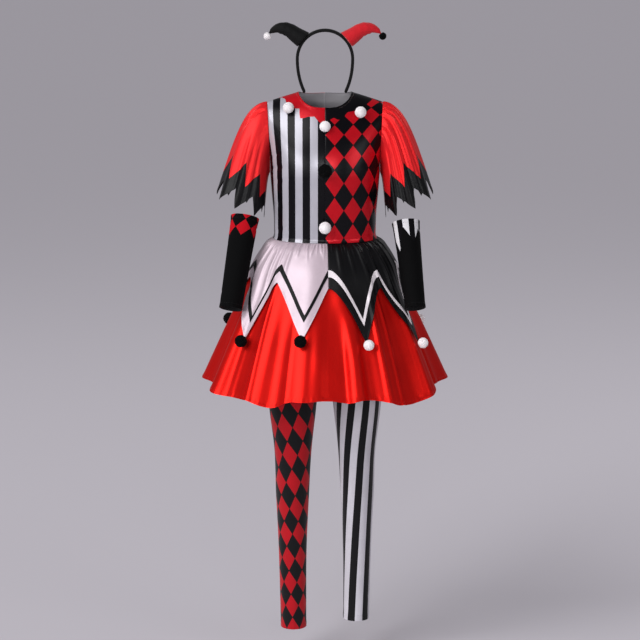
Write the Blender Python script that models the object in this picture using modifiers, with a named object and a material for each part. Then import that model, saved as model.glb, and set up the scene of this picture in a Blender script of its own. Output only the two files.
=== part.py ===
"""Clown costume in the jester style: a short-waisted dress with flared sleeves and a pointed
overskirt, a horned headband, a pair of arm warmers and a pair of leggings, in the shape they
have when worn. Front is -Y, up is +Z, and the wearer's left is +X. The origin lies midway
between the two points where the shoulder seams meet the neckline."""

import math
from collections import namedtuple

import bmesh
import bpy
import numpy as np
from mathutils import Vector

# Every size is in millimetres and is turned to metres when its mesh is made.
MM = 0.001
SEAM_GAP = 0.3  # between two pieces that are sewn together
CLOTH = 1.5  # wall of the dress and of its two skirts
KNIT = 1.2  # wall of the leggings and the arm warmers
RIBBON_WALL = 1.0
QUARTER = math.pi / 2

# ---------------------------------------------------------------- driving dimensions
WAIST_Z = -390.0
UNDERARM_Z = -215.0
HEM_Z = -771.0
WAIST_HALF_WIDTH = 136.0
WAIST_HALF_DEPTH = 95.0
SHOULDER_HALF_WIDTH = 153.0
NECK_HALF_WIDTH = 70.0
NECK_FRONT_PHI = math.radians(53)  # how far up the dome the front neckline lies
NECK_BACK_PHI = math.radians(66)
NECK_SQUARENESS = 2.6
BODY_SQUARENESS = 0.85  # 1 is an ellipse, less is fuller at the corners

Level = namedtuple("Level", "z half_width front_depth back_depth")
TORSO = (
    Level(WAIST_Z, WAIST_HALF_WIDTH, WAIST_HALF_DEPTH, WAIST_HALF_DEPTH),
    Level(-330.0, 137.0, 102.0, 98.0),
    Level(-270.0, 142.0, 113.0, 103.0),
    Level(UNDERARM_Z, 146.0, 118.0, 105.0),
)
# Rows of the bodice's grid: levels up to the underarm, levels up to the neckline, with one at
# each pompom there, and shares of the neckline's own climb.
WAIST_LEVELS = (0.0, 0.2, 0.42, 0.64, 0.84)
CHEST_LEVELS = (1.0, 1.06, 1.21, 1.394)
NECK_SHARES = (0.0, 0.05, 0.16, 0.34, 0.6, 1.0)
BODICE_COLUMNS = 10
DOME_HALF_WIDTH = 200.0  # the chest's half width carried on up to the shoulder line
DOME_FRONT_POWER = 1.25
DOME_BACK_POWER = 0.8
RIDGE_HEIGHT = 11.6  # the shoulder line's height where it would cross the centre
RIDGE_FALL = 0.36
RIDGE_ROUND = 60.0

# The skirt and the overskirt hang on one flared form, read by its drop below the waist.
Flare = namedtuple("Flare", "drop half_width half_depth squareness growth")
FLARE = (
    Flare(0.0, WAIST_HALF_WIDTH, WAIST_HALF_DEPTH, BODY_SQUARENESS, 0.0),
    Flare(12.0, 154.0, 112.0, 0.87, 0.03),
    Flare(31.0, 169.0, 129.0, 0.9, 0.08),
    Flare(52.0, 182.0, 144.0, 0.92, 0.14),
    Flare(130.0, 212.0, 180.0, 0.96, 0.34),
    Flare(210.0, 247.0, 219.0, 1.0, 0.55),
    Flare(300.0, 284.0, 262.0, 1.0, 0.78),
    Flare(WAIST_Z - HEM_Z, 316.0, 298.0, 1.0, 1.0),
)
# Angles run round from the centre front, positive towards the wearer's left.
Flute = namedtuple("Flute", "angle crest half_width")
FLUTES = (
    Flute(-90.0, 22.0, 14.0),
    Flute(-62.0, 30.0, 13.0),
    Flute(-37.0, 14.0, 10.0),
    Flute(-11.0, 20.0, 14.0),
    Flute(13.0, 18.0, 11.0),
    Flute(34.0, 14.0, 10.0),
    Flute(60.0, 21.0, 13.0),
    Flute(90.0, 22.0, 14.0),
    Flute(117.0, 18.0, 13.0),
    Flute(141.0, 22.0, 12.0),
    Flute(165.0, 16.0, 11.0),
    Flute(189.0, 20.0, 12.0),
    Flute(215.0, 16.0, 12.0),
    Flute(242.0, 20.0, 13.0),
)
SKIRT_INSET = 4.4  # how much further in the skirt hangs, from this drop below the seam
SETTLE_DROP = 40.0
# Small gathers just below the waist seam: their height, number and middle.
GATHER, GATHER_WAVES, GATHER_DROP = 1.6, 40, 24.0

SKIRT_ROWS = (0.0, 8.0, 20.0, 50.0, 120.0, 210.0, 300.0)  # drops of the grid above the hem
# A flared hem hangs lower where the cloth lies on its bias.
HemDip = namedtuple("HemDip", "angle drop half_width")
HEM_DIPS = (
    HemDip(-48.0, 13.0, 28.0),
    HemDip(-27.0, 20.0, 13.0),
    HemDip(45.0, 26.0, 26.0),
    HemDip(133.0, 18.0, 30.0),
    HemDip(225.0, 18.0, 30.0),
)

# Overskirt: five points a side, each between the two notches beside it. With a curve over 1,
# the edges of a point curve in towards its tip.
Point = namedtuple("Point", "start start_drop tip tip_drop end end_drop curve")
RIGHT_POINTS = (
    Point(2.5, 108.0, -13.0, 234.0, -38.0, 98.0, 1.15),
    Point(-38.0, 98.0, -53.2, 251.0, -79.0, 100.0, 1.5),
    Point(-79.0, 100.0, -114.0, 243.0, -126.0, 100.0, 1.3),
    Point(-126.0, 100.0, -139.0, 238.0, -152.0, 100.0, 1.3),
    Point(-152.0, 100.0, -165.0, 236.0, -178.0, 104.0, 1.2),
)
LEFT_POINTS = (
    Point(2.5, 108.0, 25.0, 247.0, 46.0, 115.0, 1.8),
    Point(46.0, 115.0, 61.8, 262.0, 81.0, 104.0, 1.0),
    Point(81.0, 104.0, 114.0, 244.0, 126.0, 100.0, 1.4),
    Point(126.0, 100.0, 140.0, 238.0, 153.0, 100.0, 1.3),
    Point(153.0, 100.0, 167.0, 236.0, 182.0, 104.0, 1.2),
)
POINT_STEPS = 4  # grid columns from a notch to the next tip
OVERSKIRT_TOP_ROWS = (0.0, 8.0, 20.0)
OVERSKIRT_SHARES = (0.2, 0.56, 1.0)  # further rows, as shares of the way down to the line
RIBBON_FROM_NOTCH, RIBBON_FROM_TIP = 28.0, 44.0  # its lower edge, above the cloth's edge
RIBBON_DROP = 17.0  # its own height, measured straight down
RIBBON_LIFT = 0.5

# Sleeve: a flared loft from the armhole to a sloping hem, cut in eight teeth.
ARMHOLE_GAP = 0.5
HEM_CENTRE = (225.0, 0.0, -305.0)
HEM_OUT, HEM_RISE, HEM_DEEP = 62.0, 29.0, 82.0
TEETH = 8
FIRST_TOOTH = 0.033  # turn of the first black tip
TOOTH_EDGE = 0.25  # the steep side's share of a tooth
RED_LAG = 0.75  # how far round a tooth the red tips follow the black ones
RED_TIP, RED_NOTCH = 64.0, 126.0  # heights above the level of the black tips
BLACK_NOTCH = 50.0
FULL_LENGTH = 230.0  # sleeve lines shorter than this carry teeth smaller in proportion
# How the loft leaves the armhole and comes to the hem, each at the underarm and at the top.
HEAD_OUT, HEAD_FALL = (8.0, 58.0), (12.0, 4.0)
HEAD_FORWARD = 15.0
HEM_PULL, HEM_HANG = (5.0, 52.0), (40.0, 166.0)
SLEEVE_ROWS = (0.0, 0.12, 0.26, 0.42, 0.6, 0.8, 1.0)  # shares of the way to the red edge
TOOTH_ROWS = (0.0, 0.5, 1.0)  # shares of the way from the red edge to the black one
LENGTH_STEPS = 60  # steps in which the length of a sleeve line is measured
SleeveFold = namedtuple("SleeveFold", "turn crest half_width")
SLEEVE_FOLDS = (
    SleeveFold(0.06, 4.0, 0.05),
    SleeveFold(0.17, 6.0, 0.05),
    SleeveFold(0.28, 5.0, 0.06),
    SleeveFold(0.39, 7.0, 0.05),
    SleeveFold(0.51, 5.0, 0.06),
    SleeveFold(0.63, 6.0, 0.06),
    SleeveFold(0.76, 5.0, 0.05),
    SleeveFold(0.88, 6.0, 0.06),
)
FOLD_GROWTH = 1.3  # power of the way down by which the folds grow
CAP_GATHERS = 12
CAP_GATHER_HEIGHT = 1.6
CAP_GATHER_DOWN = 0.13  # middle of the gathers, as a share of the way down

Arm = namedtuple("Arm", "side top top_radius bottom bottom_radius")
ARMS = (
    Arm("right", (-213.0, -26.0, -332.0), 37.5, (-250.0, -124.0, -561.0), 30.0),
    Arm("left", (215.5, -26.0, -346.0), 37.0, (239.0, -128.0, -559.0), 27.0),
)
ARM_RINGS, ARM_SIDES = 5, 18
ARM_TAPER = 0.8  # below 1, most of the narrowing is near the elbow

# Leggings: each level is an oval that the middle plane cuts open above the crotch.
LegLevel = namedtuple("LegLevel", "z centre half_width half_depth")
LEG = (
    LegLevel(-417.0, 0.0, 134.0, 94.0),
    LegLevel(-490.0, 0.0, 152.0, 99.0),
    LegLevel(-560.0, 0.0, 163.0, 105.0),
    LegLevel(-620.0, 58.0, 104.0, 101.0),
    LegLevel(-650.0, 74.0, 86.0, 95.0),
    LegLevel(-668.0, 79.6, 80.0, 90.0),
    LegLevel(-710.0, 81.5, 75.0, 83.0),
    LegLevel(-866.0, 87.0, 63.0, 66.0),
    LegLevel(-965.0, 86.5, 51.5, 56.0),
    LegLevel(-1105.0, 88.0, 45.0, 51.0),
    LegLevel(-1220.0, 88.0, 39.5, 43.0),
    LegLevel(-1465.0, 86.0, 35.0, 37.0),
)
INSEAM_SHARE = 0.0007  # the part of a leg's round that its inner seam leaves open each side
ANKLE_Z = {"right": -1477.0, "left": -1453.0}
LEG_COLUMNS = 19
WAISTBAND_TOP, WAISTBAND_BOTTOM = -382.0, -416.5
WAISTBAND_COLUMNS = 40
WAISTBAND_HALF_WIDTH, WAISTBAND_HALF_DEPTH = 133.4, 92.4

# Headband: an arch that narrows below its widest point, where a head would be.
BAND_CENTRE_Z = 84.0
BAND_HALF_WIDTH = 73.5
BAND_RISE, BAND_FALL = 76.5, 130.2  # its ends rest on the edge of the back neckline
BAND_END_ANGLE = math.radians(43)
BAND_Y = 30.4
BAND_WIDE, BAND_THICK = 20.0, 8.4
BAND_EDGE = 2.2  # how much its edges are rounded
BAND_STEPS = 26

HornRing = namedtuple("HornRing", "x z radius")
HORN = (
    HornRing(78.0, 149.0, 21.0),
    HornRing(92.0, 159.5, 18.8),
    HornRing(106.4, 165.0, 17.2),
    HornRing(120.8, 166.0, 14.2),
    HornRing(134.0, 162.5, 9.8),
    HornRing(143.5, 156.0, 5.6),
)
HORN_TIP = (147.5, 152.0)
HORN_SIDES = 12
HORN_TIP_WAY = (0.62, -0.785)  # the way in which the tip points, outwards and down
HORN_BASE_ANGLE = math.radians(41)
HORN_BASE_RADIUS = 24.0
HORN_BASE_DEPTH = 0.92  # the base is a little narrower from front to back
HORN_LIFT = 0.6

Pompom = namedtuple("Pompom", "name colour radius angle level")
TOP_POMPOM_LEVEL, MIDDLE_POMPOM_LEVEL = 1.394, 1.06
BODICE_POMPOMS = (
    Pompom("pompom_collar_right", "white", 14.5, -30.5, 1.625),
    Pompom("pompom_collar_left", "white", 15.0, 30.2, 1.569),
    Pompom("pompom_front_top", "white", 14.5, 0.0, TOP_POMPOM_LEVEL),
    Pompom("pompom_front_middle", "black", 18.0, 0.0, MIDDLE_POMPOM_LEVEL),
    Pompom("pompom_front_bottom", "white", 16.0, 0.0, 0.261),
)
RIGHT_TIP_RADIUS, LEFT_TIP_RADIUS = 16.5, 14.0
HORN_POMPOM_RADIUS = 10.0
TIP_POMPOM_SLIDE = 6.0  # how far below its point a pompom's middle hangs
CORE_SHARE = 0.85  # the solid core's share of a pompom's radius
LOCKS = 14  # raised locks on each pompom
BARE_SIDE = -0.2  # locks grow only where a face looks up more than this

Finish = namedtuple("Finish", "colour roughness")
FINISHES = {
    "red_satin": Finish((0.62, 0.01, 0.012), 0.35),
    "white_satin": Finish((0.72, 0.68, 0.71), 0.35),
    "black_satin": Finish((0.012, 0.012, 0.014), 0.4),
    "striped_satin": Finish((0.35, 0.34, 0.36), 0.45),
    "diamond_satin": Finish((0.3, 0.01, 0.015), 0.45),
    "black_knit": Finish((0.01, 0.01, 0.011), 0.9),
    "striped_knit": Finish((0.35, 0.34, 0.35), 0.8),
    "diamond_knit": Finish((0.25, 0.01, 0.014), 0.8),
    "black_cloth": Finish((0.012, 0.012, 0.014), 0.8),
    "red_cloth": Finish((0.55, 0.012, 0.014), 0.7),
    "white_pompom": Finish((0.8, 0.79, 0.78), 0.95),
    "black_pompom": Finish((0.008, 0.008, 0.009), 0.95),
}


# ---------------------------------------------------------------- small tools
def column(table, name):
    return np.array([getattr(row, name) for row in table])


def read_table(table, key, name, at):
    """A column's value at a place along the key column, on a smooth curve through the rows."""
    xs = column(table, key)
    ys = column(table, name)
    if xs[0] > xs[-1]:
        xs, ys = xs[::-1], ys[::-1]
    steps = np.diff(xs)
    slopes = np.diff(ys) / steps
    inner = (slopes[:-1] * steps[1:] + slopes[1:] * steps[:-1]) / (steps[1:] + steps[:-1])
    inner = np.where(slopes[:-1] * slopes[1:] <= 0, 0.0, inner)
    tangent = np.concatenate([slopes[:1], inner, slopes[-1:]])
    at = np.asarray(at, float)
    held = np.clip(at, xs[0], xs[-1])
    i = np.clip(np.searchsorted(xs, held) - 1, 0, len(steps) - 1)
    t = (held - xs[i]) / steps[i]
    curve = (
        ys[i] * (1 + 2 * t) * (1 - t) ** 2
        + ys[i + 1] * t**2 * (3 - 2 * t)
        + steps[i] * (tangent[i] * t * (1 - t) ** 2 - tangent[i + 1] * t**2 * (1 - t))
    )
    beyond = np.where(at > held, tangent[-1], tangent[0]) * (at - held)
    return curve + beyond


def power(value, exponent):
    """A power that keeps its sign, so that a curve runs on smoothly past zero."""
    return np.sign(value) * np.abs(value) ** exponent


def unit(vectors):
    return vectors / np.maximum(np.linalg.norm(vectors, axis=-1, keepdims=True), 1e-12)


def bump(offset, half_width):
    """A smooth hump, 1 at no offset and 0 from its half width outwards."""
    share = np.clip(np.abs(offset) / half_width, 0, 1)
    return np.cos(share * QUARTER) ** 2


def blend(start, end, share):
    return start + (end - start) * share


def material(name):
    found = bpy.data.materials.get(name)
    if found:
        return found
    made = bpy.data.materials.new(name)
    made.use_nodes = True
    shader = made.node_tree.nodes["Principled BSDF"]
    shader.inputs["Base Color"].default_value = (*FINISHES[name].colour, 1)
    shader.inputs["Roughness"].default_value = FINISHES[name].roughness
    shader.inputs["Metallic"].default_value = 0.0
    return made


def add_object(name, mesh, finish):
    mesh.materials.append(material(finish))
    mesh.shade_smooth()
    mesh.set_sharp_from_angle(angle=math.radians(40))
    made = bpy.data.objects.new(name, mesh)
    COLLECTION.objects.link(made)
    return made


def mesh_of(name, points, faces):
    """A mesh from points in millimetres, with its faces turned outwards."""
    mesh = bpy.data.meshes.new(name)
    mesh.from_pydata((np.asarray(points) * MM).tolist(), [], faces)
    shape = bmesh.new()
    shape.from_mesh(mesh)
    bmesh.ops.recalc_face_normals(shape, faces=shape.faces)
    if shape.calc_volume(signed=True) < 0:
        bmesh.ops.reverse_faces(shape, faces=shape.faces)
    shape.to_mesh(mesh)
    shape.free()
    return mesh


# ---------------------------------------------------------------- walls of cloth
def facing(surface, a, b, outside):
    """Unit normals of a surface at grid parameters, turned over unless they point outside."""
    step = 1e-4
    along_a = surface(a + step, b) - surface(a - step, b)
    along_b = surface(a, b + step) - surface(a, b - step)
    normal = unit(np.cross(along_a, along_b))
    return normal if outside else -normal


def pull_in(edge, inner, normal, closed):
    """Move an edge half a seam gap towards its own piece, square to both runs at each point."""
    ahead = np.roll(edge, -1, axis=0) - edge
    behind = edge - np.roll(edge, 1, axis=0)
    if not closed:
        ahead[-1], behind[0] = behind[-1], ahead[0]
    side_a = unit(np.cross(normal, ahead))
    side_b = unit(np.cross(normal, behind))
    turned = np.sign(np.sum(side_a * (inner - edge)))
    mitre = (side_a + side_b) / (1 + np.sum(side_a * side_b, axis=-1, keepdims=True))
    return edge + turned * SEAM_GAP / 2 * mitre


def quads(rows, columns, closed):
    """Corner numbers of a grid's quads, for points in the order rows then columns."""
    i = np.arange(rows if closed else rows - 1)[:, None]
    j = np.arange(columns - 1)[None, :]
    k = (i + 1) % rows
    corners = [i * columns + j, k * columns + j, k * columns + j + 1, i * columns + j + 1]
    return np.stack([c.reshape(-1) for c in corners], axis=1)


def halved(points, corners):
    """Two triangles for each quad, split along the shorter of its diagonals."""
    a, b, c, d = (points[corners[:, n]] for n in range(4))
    short = np.linalg.norm(c - a, axis=1) <= np.linalg.norm(d - b, axis=1)
    first = np.where(short[:, None], corners[:, [0, 1, 2]], corners[:, [0, 1, 3]])
    second = np.where(short[:, None], corners[:, [0, 2, 3]], corners[:, [1, 2, 3]])
    return np.concatenate([first, second])


def rim(outer_line, count, flipped):
    """Triangles between a line of outer points and the inner points under it. Each quad is
    split from its outer start to its inner end, on both sides of a seam."""
    start, end = outer_line[:-1], outer_line[1:]
    first = np.stack([start, end, end + count], axis=1)
    second = np.stack([start, end + count, start + count], axis=1)
    faces = np.concatenate([first, second])
    return (faces[:, ::-1] if flipped else faces).tolist()


def two_sided(name, outer, inner, closed, finish):
    """A closed solid from the outer and the inner grid of a wall, joined round their rims.
    Both sides are split alike, so that the wall keeps its thickness."""
    rows, columns = outer.shape[:2]
    count = rows * columns
    points = np.concatenate([outer.reshape(-1, 3), inner.reshape(-1, 3)])
    face = halved(points, quads(rows, columns, closed))
    number = np.arange(count).reshape(rows, columns)
    if closed:
        number = np.vstack([number, number[:1]])
    faces = face.tolist() + (face[:, ::-1] + count).tolist()
    faces += rim(number[:, 0], count, True) + rim(number[:, -1], count, False)
    if not closed:
        faces += rim(number[0], count, False) + rim(number[-1], count, True)
    return add_object(name, mesh_of(name, points, faces), finish)


def wall(name, surface, a, b, thick, finish, seams="", closed=False, outside=True):
    """A wall of cloth on a surface. Both of its sides come from the surface itself, so two
    pieces that share a seam meet square along it, which a Solidify modifier would not do.
    The seams are named by their side of the grid: a0, a1, b0 and b1."""
    outer = surface(a, b)
    normal = facing(surface, a, b, outside)
    whole = outer.copy()
    for side in seams.split():
        last = -1 if side[1] == "1" else 0
        beside = -2 if last else 1
        if side[0] == "a":
            outer[last] += pull_in(whole[last], whole[beside], normal[last], False) - whole[last]
        else:
            shifted = pull_in(whole[:, last], whole[:, beside], normal[:, last], closed)
            outer[:, last] += shifted - whole[:, last]
    two_sided(name, outer, outer - thick * normal, closed, finish)
    return outer, normal


# ---------------------------------------------------------------- bodice
def ridge(x):
    """Height of the shoulder line, rounded where it would cross the neck."""
    return RIDGE_HEIGHT - RIDGE_FALL * (np.sqrt(x**2 + RIDGE_ROUND**2) - RIDGE_ROUND)


def dome_width(phi):
    under = TORSO[-1].half_width
    return under + (DOME_HALF_WIDTH - under) * np.sin(phi) ** 2


def torso(theta, level, back):
    """The body's form. Level 0 to 1 climbs from the waist to the underarm, and 1 to 2 over
    the chest to the shoulder line. Theta is 0 at the centre and a quarter turn at the side."""
    up = np.clip(level, None, 1)
    z = blend(WAIST_Z, UNDERARM_Z, up)
    phi = np.clip(level - 1, 0, None) * QUARTER
    side = "back_depth" if back else "front_depth"
    climbing = level > 1
    wide = np.where(climbing, dome_width(phi), read_table(TORSO, "z", "half_width", z))
    deep = np.where(climbing, getattr(TORSO[-1], side), read_table(TORSO, "z", side, z))
    x = wide * np.sin(theta)
    fall = DOME_BACK_POWER if back else DOME_FRONT_POWER
    y = deep * power(np.cos(theta), BODY_SQUARENESS) * power(np.cos(phi), fall)
    dome_z = UNDERARM_Z + (ridge(x) - UNDERARM_Z) * np.sin(phi)
    z = np.where(climbing, dome_z, z)
    return np.stack([x, y if back else -y, z], axis=-1)


def armhole_theta(phi):
    under = TORSO[-1].half_width
    edge = under + (SHOULDER_HALF_WIDTH - under) * np.sin(phi) ** 2
    return np.arcsin(np.clip(edge / dome_width(phi), None, 1))


def neck_theta(phi, start):
    share = np.clip((QUARTER - phi) / (QUARTER - start), 0, 1)
    x = NECK_HALF_WIDTH * (1 - share**NECK_SQUARENESS) ** (1 / NECK_SQUARENESS)
    return np.arcsin(x / dome_width(phi))


def mirrored(surface, side):
    """The same surface on the wearer's right, which is -X."""
    flip = np.array([-1.0 if side == "right" else 1.0, 1.0, 1.0])
    return lambda a, b: surface(a, b) * flip


def bodice_panel(side, back):
    """A quarter of the bodice, from a centre seam to a side seam and up to its shoulder."""
    start = NECK_BACK_PHI if back else NECK_FRONT_PHI
    chest = (np.array(CHEST_LEVELS) - 1) * QUARTER
    neck = blend(start, QUARTER, np.array(NECK_SHARES))
    phis = np.concatenate([chest, neck])
    levels = np.concatenate([WAIST_LEVELS, 1 + phis / QUARTER])
    inner = np.concatenate([np.zeros(len(WAIST_LEVELS)), neck_theta(phis, start)])
    outer = np.concatenate([np.full(len(WAIST_LEVELS), QUARTER), armhole_theta(phis)])
    across = np.linspace(0, 1, BODICE_COLUMNS)[:, None]
    theta = blend(inner[None, :], outer[None, :], across)
    level = np.broadcast_to(levels, theta.shape)
    surface = mirrored(lambda a, b: torso(a, b, back), side)
    outside = (side == "left") != back
    name = f"bodice_{'back' if back else 'front'}_{side}"
    finish = "striped_satin" if side == "right" else "diamond_satin"
    wall(name, surface, theta, level, CLOTH, finish, "a0 a1 b0 b1", outside=outside)


# ---------------------------------------------------------------- sleeves
def armhole(turn):
    """The armhole's edge. Turn is 0 at the underarm, 1/4 at the front and 1/2 at the top."""
    turn = np.mod(turn, 1.0)
    phi = QUARTER * (1 - np.abs(2 * turn - 1))
    theta = armhole_theta(phi)
    front = torso(theta, 1 + phi / QUARTER, False)
    rear = torso(theta, 1 + phi / QUARTER, True)
    edge = np.where((turn < 0.5)[..., None], front, rear)
    return edge + np.array([ARMHOLE_GAP, 0.0, 0.0])


def sleeve(turn, down):
    """A loft on four control curves from the armhole to the hem. At the top it springs out
    and then falls, and at the underarm it falls straight. Soft folds grow towards the hem."""
    round_ = 2 * np.pi * turn
    high = ((1 - np.cos(round_)) / 2)[..., None]
    forward = np.sin(round_)[..., None]
    out = -np.cos(round_)[..., None]
    across = np.array([1.0, 0.0, 0.0])
    ahead = np.array([0.0, -1.0, 0.0])
    rise = np.array([0.0, 0.0, 1.0])
    first = armhole(turn)
    hem = np.array(HEM_CENTRE) + out * (HEM_OUT * across + HEM_RISE * rise)
    hem = hem + forward * HEM_DEEP * ahead
    second = first + across * blend(*HEAD_OUT, high) - rise * blend(*HEAD_FALL, high)
    second = second + HEAD_FORWARD * forward * ahead
    third = hem - across * blend(*HEM_PULL, high) + rise * blend(*HEM_HANG, high)
    t = down[..., None]
    points = first * (1 - t) ** 3 + 3 * second * t * (1 - t) ** 2
    points = points + 3 * third * t**2 * (1 - t) + hem * t**3
    folds = sum(
        row.crest * bump(np.mod(turn - row.turn + 0.5, 1) - 0.5, row.half_width)
        for row in SLEEVE_FOLDS
    )
    beside = bump(down - CAP_GATHER_DOWN, CAP_GATHER_DOWN)
    gathers = CAP_GATHER_HEIGHT * np.cos(round_ * CAP_GATHERS) * beside
    swell = folds * np.clip(down, 0, 1) ** FOLD_GROWTH + gathers * high[..., 0]
    radial = unit(out * across + forward * ahead)
    return points + swell[..., None] * radial


def sawtooth(turn, tip, notch):
    """Height of a zigzag edge: up steeply from a tip to a notch, then down to the next tip."""
    share = np.mod(turn * TEETH + 1e-9, 1.0)
    climb = share / TOOTH_EDGE
    descend = (1 - share) / (1 - TOOTH_EDGE)
    return blend(tip, notch, np.minimum(climb, descend))


def down_at(turns, heights):
    """How far down each sleeve line a height above its end lies, with the heights made
    smaller in proportion on a short line."""
    down = np.linspace(0, 1, LENGTH_STEPS)
    line = sleeve(turns[:, None] + 0 * down, down + 0 * turns[:, None])
    steps = np.linalg.norm(np.diff(line, axis=1), axis=-1)
    below = np.cumsum(steps[:, ::-1], axis=1)
    heights = heights * np.minimum(below[:, -1] / FULL_LENGTH, 1)
    below = np.concatenate([np.zeros((len(turns), 1)), below], axis=1)
    return np.array([np.interp(*pair, down[::-1]) for pair in zip(heights, below)])


def sleeve_parts(side):
    """The red sleeve and the black points sewn to its zigzag edge."""
    places = np.array([0.0, TOOTH_EDGE / 2, TOOTH_EDGE, (TOOTH_EDGE + RED_LAG) / 2, RED_LAG])
    turns = np.concatenate([(tooth + places) / TEETH for tooth in range(TEETH)]) + FIRST_TOOTH
    black_edge = down_at(turns, sawtooth(turns - FIRST_TOOTH, 0.0, BLACK_NOTCH))
    from_red_tip = turns - FIRST_TOOTH - RED_LAG / TEETH
    red_edge = down_at(turns, sawtooth(from_red_tip, RED_TIP, RED_NOTCH))
    surface = mirrored(sleeve, side)
    outside = side == "right"
    shares = np.array(SLEEVE_ROWS)
    a = np.repeat(turns[:, None], len(shares), 1)
    wall(
        f"sleeve_{side}", surface, a, red_edge[:, None] * shares, CLOTH, "red_satin",
        "b1", closed=True, outside=outside,
    )
    shares = np.array(TOOTH_ROWS)
    a = np.repeat(turns[:, None], len(shares), 1)
    b = blend(red_edge[:, None], black_edge[:, None], shares)
    wall(
        f"sleeve_points_{side}", surface, a, b, CLOTH, "black_satin",
        "b0", closed=True, outside=outside,
    )


# ---------------------------------------------------------------- skirt and overskirt
def round_bumps(table, column_name, angle):
    """The humps of a table added up at an angle, each as high as its named column says."""
    turn = np.degrees(angle)
    return sum(
        getattr(row, column_name)
        * bump(np.mod(turn - row.angle + 180, 360) - 180, row.half_width)
        for row in table
    )


def outer_form(angle, drop):
    """The overskirt's form at an angle round from the centre front and a drop below the waist:
    an oval that flares and rounds out, with flutes that grow towards the hem."""
    wide = read_table(FLARE, "drop", "half_width", drop)
    deep = read_table(FLARE, "drop", "half_depth", drop)
    square = read_table(FLARE, "drop", "squareness", drop)
    growth = read_table(FLARE, "drop", "growth", drop)
    gathers = GATHER * np.cos(angle * GATHER_WAVES) * bump(drop - GATHER_DROP, GATHER_DROP)
    out = round_bumps(FLUTES, "crest", angle) * growth + gathers
    x = (wide + out) * np.sin(angle)
    y = -(deep + out) * power(np.cos(angle), square)
    return np.stack([x, y, WAIST_Z - drop], axis=-1)


def inner_form(angle, drop):
    """The skirt's form, inside the overskirt's: close to it at the seam, then further in."""
    inset = CLOTH + SEAM_GAP + SKIRT_INSET * np.clip(drop / SETTLE_DROP, 0, 1)
    return outer_form(angle, drop) - inset[..., None] * facing(outer_form, angle, drop, False)


def hem_drop(angle):
    return WAIST_Z - HEM_Z + round_bumps(HEM_DIPS, "drop", angle)


def point_edge(points, steps):
    """Angles round one half of the overskirt with the drop of its edge and of its ribbon."""
    angles, drops, lines = [], [], []
    shares = np.linspace(0, 1, steps + 1)
    for row in points:
        for start, end, low, high, sign in (
            (row.start, row.tip, row.start_drop, row.tip_drop, 1),
            (row.tip, row.end, row.end_drop, row.tip_drop, -1),
        ):
            share = shares if sign > 0 else shares[::-1]
            angles += blend(start, end, shares)[:-1].tolist()
            drops += blend(low, high, share**row.curve)[:-1].tolist()
            lines += blend(RIBBON_FROM_NOTCH, RIBBON_FROM_TIP, share)[:-1].tolist()
    angles.append(points[-1].end)
    drops.append(points[-1].end_drop)
    lines.append(RIBBON_FROM_NOTCH)
    return np.radians(angles), np.array(drops), np.array(lines)


def overskirt_half(side, points, finish, line_finish):
    """One half of the overskirt, and the line of ribbon that follows its points."""
    angles, drops, lines = point_edge(points, POINT_STEPS)
    line_top, line_bottom = drops - lines - RIBBON_DROP, drops - lines
    rows = [np.full(len(angles), drop) for drop in OVERSKIRT_TOP_ROWS]
    rows += [blend(OVERSKIRT_TOP_ROWS[-1], line_top, share) for share in OVERSKIRT_SHARES]
    rows += [line_bottom, drops]
    b = np.stack(rows, axis=1)
    a = np.repeat(angles[:, None], b.shape[1], 1)
    outer, normal = wall(
        f"overskirt_{side}", outer_form, a, b, CLOTH, finish, "a0 a1 b0", outside=False
    )
    on_cloth, out = outer[:, -3:-1], normal[:, -3:-1]
    two_sided(
        f"overskirt_line_{side}",
        on_cloth + (RIBBON_LIFT + RIBBON_WALL) * out,
        on_cloth + RIBBON_LIFT * out,
        False,
        line_finish,
    )


def skirt_panels():
    """The front and back skirt panels, on the same angles as the overskirt's columns."""
    right = point_edge(RIGHT_POINTS, POINT_STEPS)[0]
    left = point_edge(LEFT_POINTS, POINT_STEPS)[0]
    round_ = np.concatenate([right[::-1], left[1:-1]])
    side_right = right[np.argmin(np.abs(right + QUARTER))]
    side_left = left[np.argmin(np.abs(left - QUARTER))]
    front = round_[(round_ >= side_right - 1e-9) & (round_ <= side_left + 1e-9)]
    back = np.concatenate([
        round_[round_ >= side_left - 1e-9],
        round_[round_ <= side_right + 1e-9] + 2 * np.pi,
    ])
    for name, angles in (("skirt_front", front), ("skirt_back", back)):
        rows = np.repeat(np.array(SKIRT_ROWS)[None, :], len(angles), 0)
        b = np.concatenate([rows, hem_drop(angles)[:, None]], axis=1)
        a = np.repeat(angles[:, None], b.shape[1], 1)
        wall(name, inner_form, a, b, CLOTH, "red_satin", "a0 a1 b0", outside=False)


# ---------------------------------------------------------------- leggings and arm warmers
def leg(share, z):
    """One leg of the leggings. Its oval is cut open by the middle plane above the crotch."""
    centre = read_table(LEG, "z", "centre", z)
    wide = read_table(LEG, "z", "half_width", z)
    deep = read_table(LEG, "z", "half_depth", z)
    opened = np.arccos(np.clip(centre / wide, -1, 1))
    turn = blend(opened, 2 * np.pi - opened, share)
    x = centre - wide * np.cos(turn) + SEAM_GAP / 2
    y = -deep * np.sin(turn)
    return np.stack([x, y, z], axis=-1)


def leggings_half(side, finish):
    """Half of the leggings, slit down its inner side where it is sewn."""
    share = np.linspace(INSEAM_SHARE, 1 - INSEAM_SHARE, LEG_COLUMNS)
    levels = np.array([row.z for row in LEG[:-1]] + [ANKLE_Z[side]])
    a = np.repeat(share[:, None], len(levels), 1)
    b = np.repeat(levels[None, :], len(share), 0)
    surface = mirrored(leg, side)
    wall(f"leggings_{side}", surface, a, b, KNIT, finish, outside=side == "left")


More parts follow.
